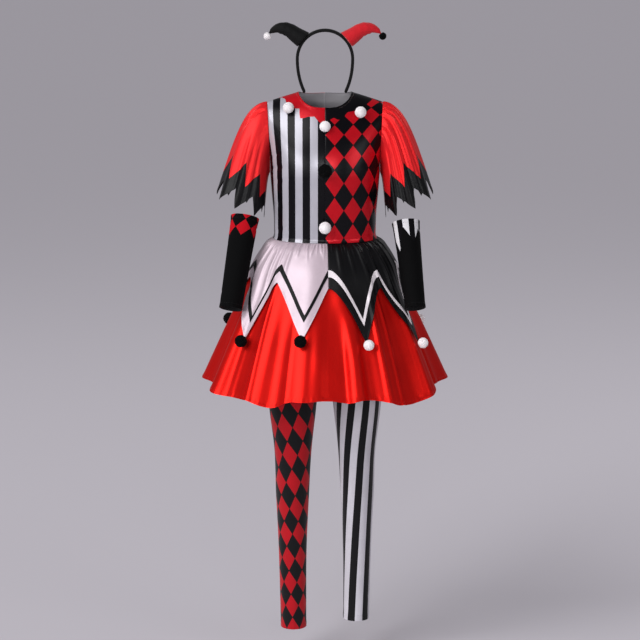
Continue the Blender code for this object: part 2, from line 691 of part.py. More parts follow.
def waistband():
    """The elastic band round the top of the leggings."""
    turns = np.linspace(0, 2 * np.pi, WAISTBAND_COLUMNS, endpoint=False)
    levels = np.array([WAISTBAND_TOP, WAISTBAND_BOTTOM])
    a = np.repeat(turns[:, None], 2, 1)
    b = np.repeat(levels[None, :], WAISTBAND_COLUMNS, 0)

    def ring(angle, z):
        x = WAISTBAND_HALF_WIDTH * np.sin(angle)
        y = -WAISTBAND_HALF_DEPTH * power(np.cos(angle), BODY_SQUARENESS)
        return np.stack([x, y, z], axis=-1)

    wall("leggings_waistband", ring, a, b, KNIT, "black_knit", closed=True)


def arm_warmer(arm):
    """A tube from the elbow to the wrist, with its ends cut square to the arm."""
    top, bottom = np.array(arm.top), np.array(arm.bottom)
    along = unit(bottom - top)
    across = unit(np.cross(along, np.array([0.0, 1.0, 0.0])))
    ahead = np.cross(across, along)
    points, faces = [], []
    for share in np.linspace(0, 1, ARM_RINGS):
        radius = blend(arm.top_radius, arm.bottom_radius, share**ARM_TAPER)
        centre = blend(top, bottom, share)
        for turn in np.linspace(0, 2 * np.pi, ARM_SIDES, endpoint=False):
            points.append(centre + radius * (math.cos(turn) * across + math.sin(turn) * ahead))
    for ring in range(ARM_RINGS - 1):
        for side in range(ARM_SIDES):
            a, b = ring * ARM_SIDES + side, ring * ARM_SIDES + (side + 1) % ARM_SIDES
            faces.append([a, b, b + ARM_SIDES, a + ARM_SIDES])
    mesh = bpy.data.meshes.new(f"arm_warmer_{arm.side}")
    mesh.from_pydata((np.array(points) * MM).tolist(), [], faces)
    shape = bmesh.new()
    shape.from_mesh(mesh)
    middle = Vector(((top + bottom) / 2 * MM).tolist())
    first = shape.faces[:][0]
    if first.normal.dot(first.calc_center_median() - middle) < 0:
        bmesh.ops.reverse_faces(shape, faces=shape.faces)
    shape.to_mesh(mesh)
    shape.free()
    made = add_object(f"arm_warmer_{arm.side}", mesh, "black_knit")
    shell = made.modifiers.new("wall", "SOLIDIFY")
    shell.thickness = KNIT * MM
    shell.offset = -1
    shell.use_even_offset = True


# ---------------------------------------------------------------- headband, horns, pompoms
def band_place(angle, extra):
    """A point of the arch: angle 0 at the wearer's left, a quarter turn at the top."""
    high = np.sin(angle)
    z = BAND_CENTRE_Z + (np.where(high > 0, BAND_RISE, BAND_FALL) + extra) * high
    return (BAND_HALF_WIDTH + extra) * np.cos(angle), z


def headband():
    """The covered band: an open strip along the arch, thickened and rounded."""
    angles = np.linspace(-BAND_END_ANGLE, math.pi + BAND_END_ANGLE, BAND_STEPS + 1)
    points = []
    for angle in angles:
        x, z = band_place(angle, BAND_THICK / 2)
        points += [(x, BAND_Y - BAND_WIDE / 2, z), (x, BAND_Y + BAND_WIDE / 2, z)]
    faces = [[2 * i, 2 * i + 1, 2 * i + 3, 2 * i + 2] for i in range(BAND_STEPS)]
    mesh = bpy.data.meshes.new("headband_band")
    mesh.from_pydata((np.array(points, float) * MM).tolist(), [], faces)
    made = add_object("headband_band", mesh, "black_cloth")
    shell = made.modifiers.new("thickness", "SOLIDIFY")
    shell.thickness = BAND_THICK * MM
    shell.offset = -1
    soft = made.modifiers.new("soft_edges", "BEVEL")
    soft.width = BAND_EDGE * MM
    soft.segments = 1
    soft.limit_method = "ANGLE"
    soft.angle_limit = math.radians(50)


def horn(side, finish):
    """A stuffed horn: rings along a drooping curve, its base shaped to the band."""
    turns = np.linspace(0, 2 * np.pi, HORN_SIDES, endpoint=False)
    flip = -1.0 if side == "right" else 1.0
    rings = []
    for share in (0.5, 1.0):
        reach = HORN_BASE_RADIUS * share
        lean = reach * np.cos(turns) / (BAND_HALF_WIDTH + BAND_THICK / 2)
        x, z = band_place(HORN_BASE_ANGLE + lean, BAND_THICK / 2 + HORN_LIFT)
        rings.append(np.stack([x, reach * HORN_BASE_DEPTH * np.sin(turns), z], axis=-1))
    centres = np.array([(row.x, row.z) for row in HORN])
    path = np.vstack([centres, HORN_TIP])
    heading = unit(np.gradient(path, axis=0))[:-1]
    for row, way in zip(HORN, heading):
        x = row.x - way[1] * row.radius * np.cos(turns)
        z = row.z + way[0] * row.radius * np.cos(turns)
        rings.append(np.stack([x, row.radius * np.sin(turns), z], axis=-1))
    root_x, root_z = band_place(HORN_BASE_ANGLE, BAND_THICK / 2 + HORN_LIFT)
    ends = [(root_x, 0.0, root_z), (HORN_TIP[0], 0.0, HORN_TIP[1])]
    points = np.concatenate([np.concatenate(rings), ends])
    points = (points + np.array([0.0, BAND_Y, 0.0])) * np.array([flip, 1.0, 1.0])
    root, tip = len(points) - 2, len(points) - 1
    faces = []
    for ring in range(len(rings) - 1):
        for i in range(HORN_SIDES):
            a, b = ring * HORN_SIDES + i, ring * HORN_SIDES + (i + 1) % HORN_SIDES
            faces.append([a, b, b + HORN_SIDES, a + HORN_SIDES])
    last = (len(rings) - 1) * HORN_SIDES
    for i in range(HORN_SIDES):
        k = (i + 1) % HORN_SIDES
        faces.append([root, k, i])
        faces.append([tip, last + i, last + k])
    name = f"horn_{side}"
    add_object(name, mesh_of(name, points, faces), finish)
    return Vector((flip * HORN_TIP[0], BAND_Y, HORN_TIP[1]))


def pompom(name, colour, radius, centre, out):
    """A round core with locks of yarn standing from it, none on the side it rests on."""
    shape = bmesh.new()
    core = radius * CORE_SHARE
    bmesh.ops.create_icosphere(shape, subdivisions=2, radius=core * MM)
    free = [face for face in shape.faces if face.normal.z > BARE_SIDE]
    free.sort(key=lambda face: (round(face.normal.z, 3), round(math.atan2(*face.normal.xy), 3)))
    chosen = [free[int(i * len(free) / LOCKS)] for i in range(LOCKS)]
    poked = bmesh.ops.poke(shape, faces=chosen)
    for vertex in poked["verts"]:
        vertex.co = vertex.co.normalized() * radius * MM
    mesh = bpy.data.meshes.new(name)
    shape.to_mesh(mesh)
    shape.free()
    made = add_object(name, mesh, f"{colour}_pompom")
    made.location = Vector(centre) * MM
    made.rotation_euler = Vector(out).to_track_quat("Z", "Y").to_euler()


def place_on(surface, a, b, outside):
    """A point of a surface and the way it faces there."""
    a, b = np.array([[a]]), np.array([[b]])
    return surface(a, b)[0, 0], facing(surface, a, b, outside)[0, 0]


def bodice_pompoms():
    for row in BODICE_POMPOMS:
        surface = mirrored(lambda a, b: torso(a, b, False), "right" if row.angle < 0 else "left")
        angle = math.radians(abs(row.angle))
        point, out = place_on(surface, angle, row.level, row.angle >= 0)
        rest = row.radius * CORE_SHARE + SEAM_GAP
        pompom(row.name, row.colour, row.radius, point + out * rest, out)


def tip_pompoms():
    """One pompom in front of each point of the overskirt, touching the tip."""
    for side, points, colour, radius in (
        ("right", RIGHT_POINTS, "black", RIGHT_TIP_RADIUS),
        ("left", LEFT_POINTS, "white", LEFT_TIP_RADIUS),
    ):
        reach = radius * CORE_SHARE + SEAM_GAP
        stand = math.sqrt(reach**2 - TIP_POMPOM_SLIDE**2)
        for number, row in enumerate(points, 1):
            angle = math.radians(row.tip)
            tip, out = place_on(outer_form, angle, row.tip_drop, False)
            below, _ = place_on(outer_form, angle, row.tip_drop + 10, False)
            centre = tip + out * stand + unit(below - tip) * TIP_POMPOM_SLIDE
            pompom(f"pompom_tip_{side}_{number}", colour, radius, centre, out)


def horn_pompoms(tips):
    for side, colour, tip in tips:
        flip = -1.0 if side == "right" else 1.0
        way = Vector((flip * HORN_TIP_WAY[0], 0.0, HORN_TIP_WAY[1]))
        centre = tip + way * (HORN_POMPOM_RADIUS * CORE_SHARE + SEAM_GAP)
        pompom(f"pompom_horn_{side}", colour, HORN_POMPOM_RADIUS, centre, way)


# ---------------------------------------------------------------- the whole costume
for old in list(bpy.data.objects):
    bpy.data.objects.remove(old, do_unlink=True)
COLLECTION = bpy.data.collections.new("clown_costume")
bpy.context.scene.collection.children.link(COLLECTION)

for wearer_side in ("right", "left"):
    for is_back in (False, True):
        bodice_panel(wearer_side, is_back)
    sleeve_parts(wearer_side)
skirt_panels()
overskirt_half("right", RIGHT_POINTS, "white_satin", "black_satin")
overskirt_half("left", LEFT_POINTS, "black_satin", "white_satin")
leggings_half("right", "diamond_knit")
leggings_half("left", "striped_knit")
waistband()
for one_arm in ARMS:
    arm_warmer(one_arm)
headband()
horn_tips = (
    ("right", "white", horn("right", "black_cloth")),
    ("left", "black", horn("left", "red_cloth")),
)
horn_pompoms(horn_tips)
bodice_pompoms()
tip_pompoms()
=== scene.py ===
"""Clown costume in the jester style, finished as cloth: a striped and harlequin bodice, gathered
satin sleeves and skirts, a horned headband, arm warmers, leggings and yarn pompoms, each made
as a thin shell on the form of its solid. Front is -Y, up is +Z, the wearer's left is +X."""

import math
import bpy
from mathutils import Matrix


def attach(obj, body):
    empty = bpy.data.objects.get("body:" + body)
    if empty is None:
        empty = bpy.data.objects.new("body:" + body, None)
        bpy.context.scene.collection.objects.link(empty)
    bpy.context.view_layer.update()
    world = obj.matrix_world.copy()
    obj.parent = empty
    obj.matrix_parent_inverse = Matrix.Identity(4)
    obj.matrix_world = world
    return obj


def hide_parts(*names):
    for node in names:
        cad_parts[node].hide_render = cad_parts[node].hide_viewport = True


bl_info = {
    "name": "Clown costume",
    "version": (1, 0, 0),
    "blender": (4, 5, 0),
    "location": "View3D > Sidebar > Costume",
    "description": "Sews a jester-style clown costume and lights it on a plain floor",
    "category": "Add Mesh",
}

from collections import namedtuple

import bmesh
import bpy
import numpy as np
from bpy.props import FloatProperty, FloatVectorProperty, IntProperty, PointerProperty
from mathutils import Vector

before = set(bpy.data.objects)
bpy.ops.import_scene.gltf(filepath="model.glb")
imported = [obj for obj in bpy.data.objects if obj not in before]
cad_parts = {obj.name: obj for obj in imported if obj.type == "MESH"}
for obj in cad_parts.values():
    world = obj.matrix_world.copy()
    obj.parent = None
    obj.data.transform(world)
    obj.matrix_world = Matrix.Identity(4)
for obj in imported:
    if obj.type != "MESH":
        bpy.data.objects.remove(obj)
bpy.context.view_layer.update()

# Shapes are worked out in millimetres and turned to metres when a mesh is made.
MM = 0.001
QUARTER = math.pi / 2
ACROSS, UP = np.array([1.0, 0.0, 0.0]), np.array([0.0, 0.0, 1.0])
AHEAD = np.array([0.0, -1.0, 0.0])


def table_of(kind, *rows):
    """A table: every row made into the same kind of tuple."""
    return tuple(kind(*row) for row in rows)


# ---- the body's form
WAIST_Z, UNDERARM_Z, HEM_Z = -390.0, -215.0, -771.0
WAIST_HALF_WIDTH, WAIST_HALF_DEPTH = 136.0, 95.0
SHOULDER_HALF_WIDTH, NECK_HALF_WIDTH = 153.0, 70.0
NECK_FRONT_PHI, NECK_BACK_PHI = math.radians(53), math.radians(66)
NECK_SQUARENESS, BODY_SQUARENESS = 2.6, 0.85
Level = namedtuple("Level", "z half_width front_depth back_depth")
TORSO = table_of(
    Level,
    (WAIST_Z, WAIST_HALF_WIDTH, WAIST_HALF_DEPTH, WAIST_HALF_DEPTH),
    (-330, 137, 102, 98),
    (-270, 142, 113, 103),
    (UNDERARM_Z, 146, 118, 105),
)
DOME_HALF_WIDTH, DOME_FRONT_POWER, DOME_BACK_POWER = 200.0, 1.25, 0.8
RIDGE_HEIGHT, RIDGE_FALL, RIDGE_ROUND = 11.6, 0.36, 60.0

# The jester collar is printed on: its zigzag edge, as distances from the neck's middle at
# angles round from straight down, and the height of that middle.
Corner = namedtuple("Corner", "at reach")
COLLAR_CENTRE_Z = 5.0
COLLAR_RIGHT = table_of(
    Corner, (0, 77), (4, 78), (21, 65), (33, 73), (42.5, 90), (56, 75.5),
    (67, 101), (78, 103), (82.5, 120), (100, 120),
)
COLLAR_LEFT = table_of(
    Corner, (0, 77), (4, 78), (16.4, 70.2), (23.9, 69.1), (29.5, 79.7), (40, 84),
    (50.7, 79.2), (59.4, 95), (67, 104), (72, 116), (80, 132), (100, 136),
)
COLLAR_BACK = table_of(
    Corner, (0, 84), (18, 56), (40, 94), (56, 76), (70, 112), (86, 124),
    (100, 124),
)
COLLAR_SHIFT = 4.5  # the printed collar sits this far towards the wearer's right
# Above this height over the waist the diamonds crowd together: the extra place on the print is
# this share of the squared height.
CROWD_FROM, CROWD_SHARE = 165.0, 0.00133
# Soft troughs across the bodice, on a straight line seen from the front or the back.
Trough = namedtuple("Trough", "x z end_x end_z depth half_width")
FRONT_TROUGHS = table_of(
    Trough,
    (143, -196, 96, -186, 1.7, 8),
    (143, -170, 112, -146, 1.4, 6.5),
    (136, -232, 84, -216, 1.2, 9),
    (130, -372, 92, -338, 1.3, 8),
    (112, -386, 84, -352, 1, 6),
    (60, -388, 46, -356, 0.8, 6),
    (24, -384, 30, -340, 0.7, 7),
    (134, -290, 104, -302, 0.9, 10),
)
BACK_TROUGHS = table_of(
    Trough,
    (142, -190, 92, -172, 1.8, 9),
    (140, -226, 88, -226, 1.2, 8),
    (122, -376, 78, -344, 1.5, 8),
    (86, -386, 40, -362, 1.2, 7),
    (126, -330, 58, -318, 1.3, 10),
    (40, -352, 4, -336, 1, 9),
    (60, -120, 24, -176, 1.1, 9),
)

# ---- skirts
Flare = namedtuple("Flare", "drop half_width half_depth squareness growth")
FLARE = table_of(
    Flare,
    (0, WAIST_HALF_WIDTH, WAIST_HALF_DEPTH, BODY_SQUARENESS, 0),
    (12, 154, 112, 0.87, 0.03),
    (31, 169, 129, 0.9, 0.08),
    (52, 182, 144, 0.92, 0.14),
    (130, 212, 180, 0.96, 0.34),
    (210, 247, 219, 1, 0.55),
    (300, 284, 262, 1, 0.78),
    (WAIST_Z - HEM_Z, 316, 298, 1, 1),
)
# Flutes in degrees round from the front: how far each stands out at the hem. The hem dips too.
Hump = namedtuple("Hump", "at height half_width")
FLUTES = table_of(
    Hump, (-90, 22, 14), (-62, 30, 13), (-37, 14, 10), (-11, 20, 14), (13, 18, 11),
    (34, 14, 10), (60, 21, 13), (90, 22, 14), (117, 18, 13), (141, 22, 12), (165, 16, 11),
    (189, 20, 12), (215, 16, 12), (242, 20, 13),
)
SKIRT_INSET, SETTLE_DROP = 4.4, 40.0
SOLID_WALL, SOLID_GAP = 1.5, 0.3
SIDE_SEAMS = (-91.75, 89.0)
HEM_DIPS = table_of(
    Hump, (-48, 13, 28), (-27, 20, 13), (45, 26, 26), (133, 18, 30), (225, 18, 30),
)
# A fold grows from its start to its full height, and fades again before its end. Its middle
# drifts sideways on the way. Skirt folds are placed in degrees and in drops below the waist.
Fold = namedtuple("Fold", "at drift start full fade end height half_width")


def to_hem(at, drift, start, full, height, half_width):
    """A fold that keeps its height down to the hem."""
    return Fold(at, drift, start, full, 600.0, 700.0, height, half_width)


SKIRT_FOLDS = table_of(
    to_hem,
    (-73, 2, 120, 300, -6, 5),
    (-54, -1, 90, 260, -4, 3.5),
    (-41, 4, 60, 200, 7, 3.4),
    (-27, 1.5, 120, 280, -5, 6.5),
    (-20.5, 2, 150, 330, 2.5, 2.6),
    (-2.5, 0, 130, 300, 6.5, 6),
    (9, 1, 130, 300, -17, 7),
    (18, 0.5, 150, 320, 5, 4),
    (24, 0, 140, 300, -4, 5),
    (33, -3, 70, 190, 5.5, 3),
    (41.5, -4, 80, 210, 4.5, 2),
    (58, -3, 90, 240, 4.5, 3.6),
    (71, 1, 120, 320, -6, 4),
    (104, 2, 90, 300, -5, 5),
    (122, -3, 70, 220, 4.5, 3),
    (131, 2, 120, 320, -5, 5),
    (149, 3, 60, 220, 5, 2.8),
    (157, 0, 100, 260, 3.5, 2.2),
    (177, -2, 120, 300, -5, 6),
    (196, 3, 80, 240, 5, 3.2),
    (203, 0, 110, 300, -4, 4.5),
    (222, -2, 60, 210, 5, 2.6),
    (236, 2, 90, 280, -4.5, 4),
    (254, -2, 90, 260, -5, 4),
)
# Long gathers that run down from the waist seam, and the range of the short ones between them.
LONG_GATHERS = table_of(
    Fold,
    (-74, -5, 0, 8, 50, 150, 3.2, 3.6),
    (-64, -4, 0, 8, 60, 190, 3.8, 3),
    (-56.5, -2, 0, 8, 50, 165, 3, 2.6),
    (-48, -4, 0, 8, 70, 200, 4, 3.2),
    (-41, -2, 0, 8, 40, 120, 3.2, 2.4),
    (-33, -1, 0, 8, 40, 105, 2.8, 3),
    (-25, -2.5, 0, 7, 14, 42, 2.8, 2.4),
    (-17.5, 2, 0, 7, 14, 50, 2.6, 2),
    (-10.5, -3, 0, 7, 10, 38, 2.8, 1.8),
    (-4.5, 2.5, 0, 7, 10, 34, 2.4, 1.6),
    (12, 2, 0, 8, 30, 100, 2, 3),
    (22, 3, 0, 8, 40, 110, 2.4, 2.6),
    (33, 5, 0, 8, 60, 180, 3, 3),
    (43, 4, 0, 8, 50, 150, 2.6, 2.6),
    (54, 5, 0, 8, 60, 190, 3, 3.2),
    (66, 4, 0, 8, 60, 170, 2.6, 3),
    (78, 3, 0, 8, 50, 150, 2.4, 3),
    (98, 3, 0, 8, 50, 170, 2.8, 3.2),
    (112, 4, 0, 8, 40, 140, 2.4, 2.8),
    (127, 3, 0, 8, 60, 180, 3, 3.2),
    (143, -2, 0, 8, 40, 130, 2.4, 2.8),
    (161, 3, 0, 8, 60, 170, 2.8, 3.4),
    (186, -3, 0, 8, 40, 140, 2.4, 3),
    (201, 3, 0, 8, 60, 180, 2.8, 3),
    (217, -4, 0, 8, 50, 150, 2.6, 2.8),
    (233, 2, 0, 8, 60, 170, 3, 3.2),
    (250, -3, 0, 8, 50, 160, 2.4, 3),
)
SHORT_GATHERS, SHORT_FROM, SHORT_TO, SHORT_RISE = 88, -178.0, 182.0, 5.0
SHORT_LENGTHS, SHORT_HEIGHTS, SHORT_WIDTHS = (14.0, 46.0), (1.1, 2.6), (1.1, 2.0)

# The overskirt's points: degrees round and drops below the waist of notch, tip and next notch.
Point = namedtuple("Point", "start start_drop tip tip_drop end end_drop curve")
RIGHT_POINTS = table_of(
    Point,
    (2.5, 108, -13, 234, -38, 98, 1.15),
    (-38, 98, -53.2, 251, -79, 100, 1.5),
    (-79, 100, -114, 243, -126, 100, 1.3),
    (-126, 100, -139, 238, -152, 100, 1.3),
    (-152, 100, -165, 236, -178, 104, 1.2),
)
LEFT_POINTS = table_of(
    Point,
    (2.5, 108, 25, 247, 46, 115, 1.8),
    (46, 115, 61.8, 262, 81, 104, 1),
    (81, 104, 114, 244, 126, 100, 1.4),
    (126, 100, 140, 238, 153, 100, 1.3),
    (153, 100, 167, 236, 182, 104, 1.2),
)
RIBBON_FROM_NOTCH, RIBBON_FROM_TIP, RIBBON_DROP = 28.0, 44.0, 17.0
RIBBON_LIFT, RIBBON_WALL = 0.3, 0.7
RIBBON_CROWN, RIBBON_SELVEDGE, RIBBON_SINK = 0.25, 0.2, 0.15  # its edges lie lower than its middle
# Radii that turn angles into the way across the cut cloth, the narrow turned edge of the points,
# and the distance to such a slanting edge as a share of the way down to it.
SKIRT_CUT_RADIUS, OVERSKIRT_CUT_RADIUS = 300.0, 260.0
NARROW_HEM, POINT_SLANT = 4.0, 0.6

# ---- sleeves
ARMHOLE_GAP = 0.5
HEM_CENTRE = (225.0, 0.0, -305.0)
HEM_OUT, HEM_RISE, HEM_DEEP = 62.0, 29.0, 82.0
TEETH, FIRST_TOOTH, TOOTH_EDGE, RED_LAG = 8, 0.033, 0.25, 0.75
RED_TIP, RED_NOTCH, BLACK_NOTCH, FULL_LENGTH = 64.0, 126.0, 50.0, 230.0
HEAD_OUT, HEAD_FALL, HEAD_FORWARD = (8.0, 58.0), (12.0, 4.0), 15.0
HEM_PULL, HEM_HANG = (5.0, 52.0), (40.0, 166.0)
LENGTH_STEPS = 60
OVAL_ROUND = 3.2  # an oval's way round, as a share of its two half widths together
SLEEVE_FOLDS = table_of(
    Hump, (0.06, 4, 0.05), (0.17, 6, 0.05), (0.28, 5, 0.06), (0.39, 7, 0.05),
    (0.51, 5, 0.06), (0.63, 6, 0.06), (0.76, 5, 0.05), (0.88, 6, 0.06),
)
FOLD_GROWTH = 1.3
# Folds of each sleeve, placed in turns round the armhole and in shares of the way down.
SLEEVE_CREASES = {
    "right": table_of(
        Fold,
        (0.36, 0.06, 0.02, 0.16, 0.3, 0.52, -6, 0.022),
        (0.325, 0, 0.35, 0.6, 1.2, 1.4, -3.2, 0.022),
        (0.255, 0, 0.3, 0.55, 1.2, 1.4, -4, 0.024),
        (0.29, 0, 0.42, 0.7, 1.2, 1.4, 2.6, 0.018),
        (0.2, 0, 0.15, 0.5, 1.2, 1.4, -3, 0.022),
        (0.44, 0.02, 0.05, 0.2, 0.5, 0.8, -2.5, 0.02),
        (0.56, 0, 0.1, 0.4, 1.2, 1.4, -3.5, 0.022),
        (0.68, 0.02, 0.05, 0.3, 1.2, 1.4, -4, 0.024),
        (0.73, 0, 0.3, 0.6, 1.2, 1.4, 2.6, 0.018),
        (0.82, 0, 0.2, 0.5, 1.2, 1.4, -3.4, 0.022),
    ),
    "left": table_of(
        Fold,
        (0.405, 0.03, 0, 0.1, 0.4, 0.8, -3.6, 0.017),
        (0.365, 0.02, 0, 0.12, 0.6, 1.1, -3.4, 0.015),
        (0.335, 0.01, 0.02, 0.16, 0.9, 1.4, 3, 0.014),
        (0.3, 0.01, 0, 0.14, 1, 1.4, -4.2, 0.016),
        (0.268, 0.01, 0.02, 0.2, 1.2, 1.5, 3.2, 0.013),
        (0.235, 0, 0, 0.16, 1.2, 1.5, -4, 0.016),
        (0.2, 0, 0.05, 0.3, 1.2, 1.5, 2.6, 0.014),
        (0.165, 0, 0.1, 0.4, 1.2, 1.5, -3, 0.016),
        (0.46, -0.02, 0.02, 0.12, 0.3, 0.6, -2.4, 0.016),
        (0.57, 0.01, 0.02, 0.2, 0.7, 1.2, -3.4, 0.018),
        (0.65, 0, 0.02, 0.2, 1.2, 1.4, -3.8, 0.018),
        (0.7, 0, 0.05, 0.3, 1.2, 1.4, 3, 0.015),
        (0.78, 0.01, 0.05, 0.4, 1.2, 1.4, -3.2, 0.02),
        (0.86, 0, 0.1, 0.4, 1.2, 1.4, -2.6, 0.018),
    ),
}
# Small gathers over the top of the armhole: their number, where they start and end round it,
# how soon they rise, and their lengths, half widths and heights.
CAP_GATHERS, CAP_FROM, CAP_TO, CAP_RISE = 46, 0.16, 0.84, 0.012
CAP_LENGTHS, CAP_WIDTHS = (0.07, 0.26), (0.005, 0.009)
CAP_HEIGHTS = {"right": (0.3, 0.8), "left": (0.7, 1.7)}

# ---- leggings and arm warmers
LegLevel = namedtuple("LegLevel", "z centre half_width half_depth")
LEG = table_of(
    LegLevel,
    (-417, 0, 134, 94),
    (-490, 0, 152, 99),
    (-560, 0, 163, 105),
    (-620, 58, 104, 101),
    (-650, 74, 86, 95),
    (-668, 79.6, 80, 90),
    (-710, 81.5, 75, 83),
    (-866, 87, 63, 66),
    (-965, 86.5, 51.5, 56),
    (-1105, 88, 45, 51),
    (-1220, 88, 39.5, 43),
    (-1465, 86, 35, 37),
)
INSEAM_SHARE = 0.0007
ANKLE_Z = {"right": -1477.0, "left": -1453.0}
WAISTBAND_TOP, WAISTBAND_BOTTOM = -382.0, -416.5
WAISTBAND_HALF_WIDTH, WAISTBAND_HALF_DEPTH = 133.4, 92.4
# Stretch of the knit at the thigh and at the ankle, how far its print leans inwards at both, and
# where on the cut cloth a diamond's middle or a stripe's edge lies, across and down.
LegPrint = namedtuple("LegPrint", "thigh_stretch ankle_stretch thigh_lean ankle_lean across down")
LEG_PRINTS = {
    "right": LegPrint(1.144, 0.859, 0.239, 0.035, 32.9, 55.2),
    "left": LegPrint(1.019, 1.089, 0.13, 0.0215, 7, 0),
}
LEG_STRIPE = 20.0
LEG_PRINT_TOP, LEG_PRINT_LENGTH = -700.0, 770.0
ANKLE_HEM, ANKLE_FINE, ANKLE_ROUND = 16.0, 24.0, 230.0  # the last is the way round an ankle
WAISTBAND_CUT_RADIUS, WAISTBAND_RIBS = 115.0, 60
RIB_HEIGHT, RIB_SINK, RIB_MARGIN = 0.5, 0.4, 2.25
# Lower edge of the left arm warmer's print: places round it from the front, and depths.
LEFT_CUFF = table_of(
    Corner, (-107, 26), (-80, 74), (-52, 24), (-27, 84), (-9, 20), (17, 64),
    (34, 24), (44, 50), (62, 18), (84, 70), (107, 26),
)
# Soft creases of the leggings: turns from the inner side through the front, and heights.
Crease = namedtuple("Crease", "at down slope depth half_height half_width")
LEG_CREASES = table_of(
    Crease,
    (0.72, -1000, 30, 1.8, 10, 0.16),
    (0.78, -1030, -22, 1.6, 8, 0.14),
    (0.3, -1012, 26, 0.9, 9, 0.12),
    (0.12, -720, -40, 1.4, 11, 0.12),
    (0.1, -752, -34, 1.1, 9, 0.1),
    (0.22, -1405, 18, 1.2, 6, 0.14),
    (0.62, -1425, -16, 1.3, 6, 0.16),
    (0.4, -1382, -12, 0.8, 7, 0.12),
    (0.84, -1390, 14, 1, 7, 0.12),
)
Arm = namedtuple("Arm", "side top top_radius bottom bottom_radius")
ARMS = table_of(
    Arm,
    ("right", (-213, -26, -332), 37.5, (-250, -124, -561), 30),
    ("left", (215.5, -26, -346), 37, (239, -128, -559), 27),
)
ARM_TAPER, ARM_HEM, LEFT_CUFF_ROUND = 0.8, 8.0, 214.0
ARM_DEGREE, ARM_EASE = 0.6, 2.0  # way round an arm in one degree, and what its cut is wider by
# Soft creases of the arm warmers: degrees from the front, and shares of the way down.
ARM_CREASES = table_of(
    Crease,
    (100, 0.12, 0.03, 1.6, 0.03, 60),
    (140, 0.2, -0.04, 1.4, 0.026, 55),
    (-120, 0.3, 0.03, 1, 0.03, 50),
    (-20, 0.52, 0.04, 0.7, 0.03, 50),
    (60, 0.7, -0.03, 0.9, 0.028, 55),
    (-80, 0.84, 0.03, 1, 0.022, 60),
    (150, 0.9, 0.03, 1, 0.02, 60),
)

# ---- headband and pompoms
BAND_CENTRE_Z, BAND_HALF_WIDTH, BAND_RISE, BAND_FALL = 84.0, 73.5, 76.5, 130.2
BAND_END_ANGLE = math.radians(43)
BAND_Y, BAND_WIDE, BAND_THICK = 30.4, 20.0, 8.4
BAND_SQUARENESS = 0.45  # power of the strip's rounded section, 1 for an ellipse
# Its ends round off over an angle to a share of its size. Its cover has a seam and puckers.
BAND_TAPER, BAND_SLIM, BAND_SEAM, BAND_PUCKER = 0.05, 0.72, 0.5, 0.18
BAND_SEAM_TURN, BAND_PUCKER_TURN, BAND_PUCKERS = 0.25, 1.2, 90  # how far round each reaches
HornRing = namedtuple("HornRing", "x z radius")
HORN = table_of(
    HornRing,
    (78, 149, 21),
    (92, 159.5, 18.8),
    (106.4, 165, 17.2),
    (120.8, 166, 14.2),
    (134, 162.5, 9.8),
    (143.5, 156, 5.6),
    (147.5, 152, 0.6),
)
HORN_TIP_WAY = (0.62, -0.785)
HORN_BASE_ANGLE, HORN_BASE_RADIUS = math.radians(41), 24.0
HORN_BASE_DEPTH, HORN_LIFT, HORN_BASE_RINGS = 0.92, 0.6, (0.4, 0.75, 1.0)
HORN_VOXEL, HORN_SWELL = 3.2, 2.2  # remeshing size and the most that the stuffing may swell it
HORN_TIP_RADIUS, HORN_TUCK = 3.6, 2.0  # the blunt tip and how far it goes into its pompom
HORN_PRESSURE, HORN_FRAMES, HORN_FILL, BAND_FILL = 4.0, 20, 0.85, 1.0
HORN_WRINKLE, HORN_PULL, HORN_SEAM = 0.8, 0.4, 0.9  # relief under the bend, over it and along it
# The wrinkles and pulls are waves along x: their length over 2 pi, how they bow or slant across
# the horn, the x of their middle, and how far they reach from it.
WRINKLE_LENGTH, WRINKLE_BOW, WRINKLE_MIDDLE, WRINKLE_REACH = 1.7, 0.08, 112.0, 30.0
PULL_LENGTH, PULL_SLANT, PULL_MIDDLE, PULL_REACH = 3.1, 5.0, 100.0, 40.0
HORN_UNDER, HORN_SEAM_WIDTH, HORN_FOOT = 12.0, 2.2, (-14, 4)
Pompom = namedtuple("Pompom", "name colour radius angle level")
BODICE_POMPOMS = table_of(
    Pompom,
    ("pompom_collar_right", "white", 14.5, -30.5, 1.625),
    ("pompom_collar_left", "white", 15, 30.2, 1.569),
    ("pompom_front_top", "white", 14.5, 0, 1.394),
    ("pompom_front_middle", "black", 18, 0, 1.06),
    ("pompom_front_bottom", "white", 16, 0, 0.261),
)
RIGHT_TIP_RADIUS, LEFT_TIP_RADIUS, HORN_POMPOM_RADIUS = 16.5, 14.0, 10.0
TIP_POMPOM_SLIDE, CORE_SHARE = 6.0, 0.85
# Yarn ends are shaken and leaned by these, and reach, root and core are shares of the radius.
# Their thickness is meant for a pompom of one radius, and none point further back than a cosine.
YARN_SHAKE, YARN_LEAN, YARN_REACH, YARN_ROOT, YARN_CORE = 0.035, 0.05, (0.96, 1.03), 0.66, 0.92
YARN_RADIUS, YARN_BACK = 16.0, -0.8


# ---- sizes and colours to set
def linear(code):
    """The linear colour of an sRGB hex value such as 0xC81E28."""
    shares = [((code >> shift) & 255) / 255 for shift in (16, 8, 0)]
    return tuple(s / 12.92 if s <= 0.04045 else ((s + 0.055) / 1.055) ** 2.4 for s in shares)


def size(name, description, default):
    """A length to set, in metres."""
    return FloatProperty(
        name=name, description=description, default=default, min=0.0, unit="LENGTH"
    )


def tone(name, description, code):
    """A colour to set, with an sRGB hex value as its default."""
    return FloatVectorProperty(
        name=name, description=description, default=linear(code), min=0.0, max=1.0,
        subtype="COLOR",
    )


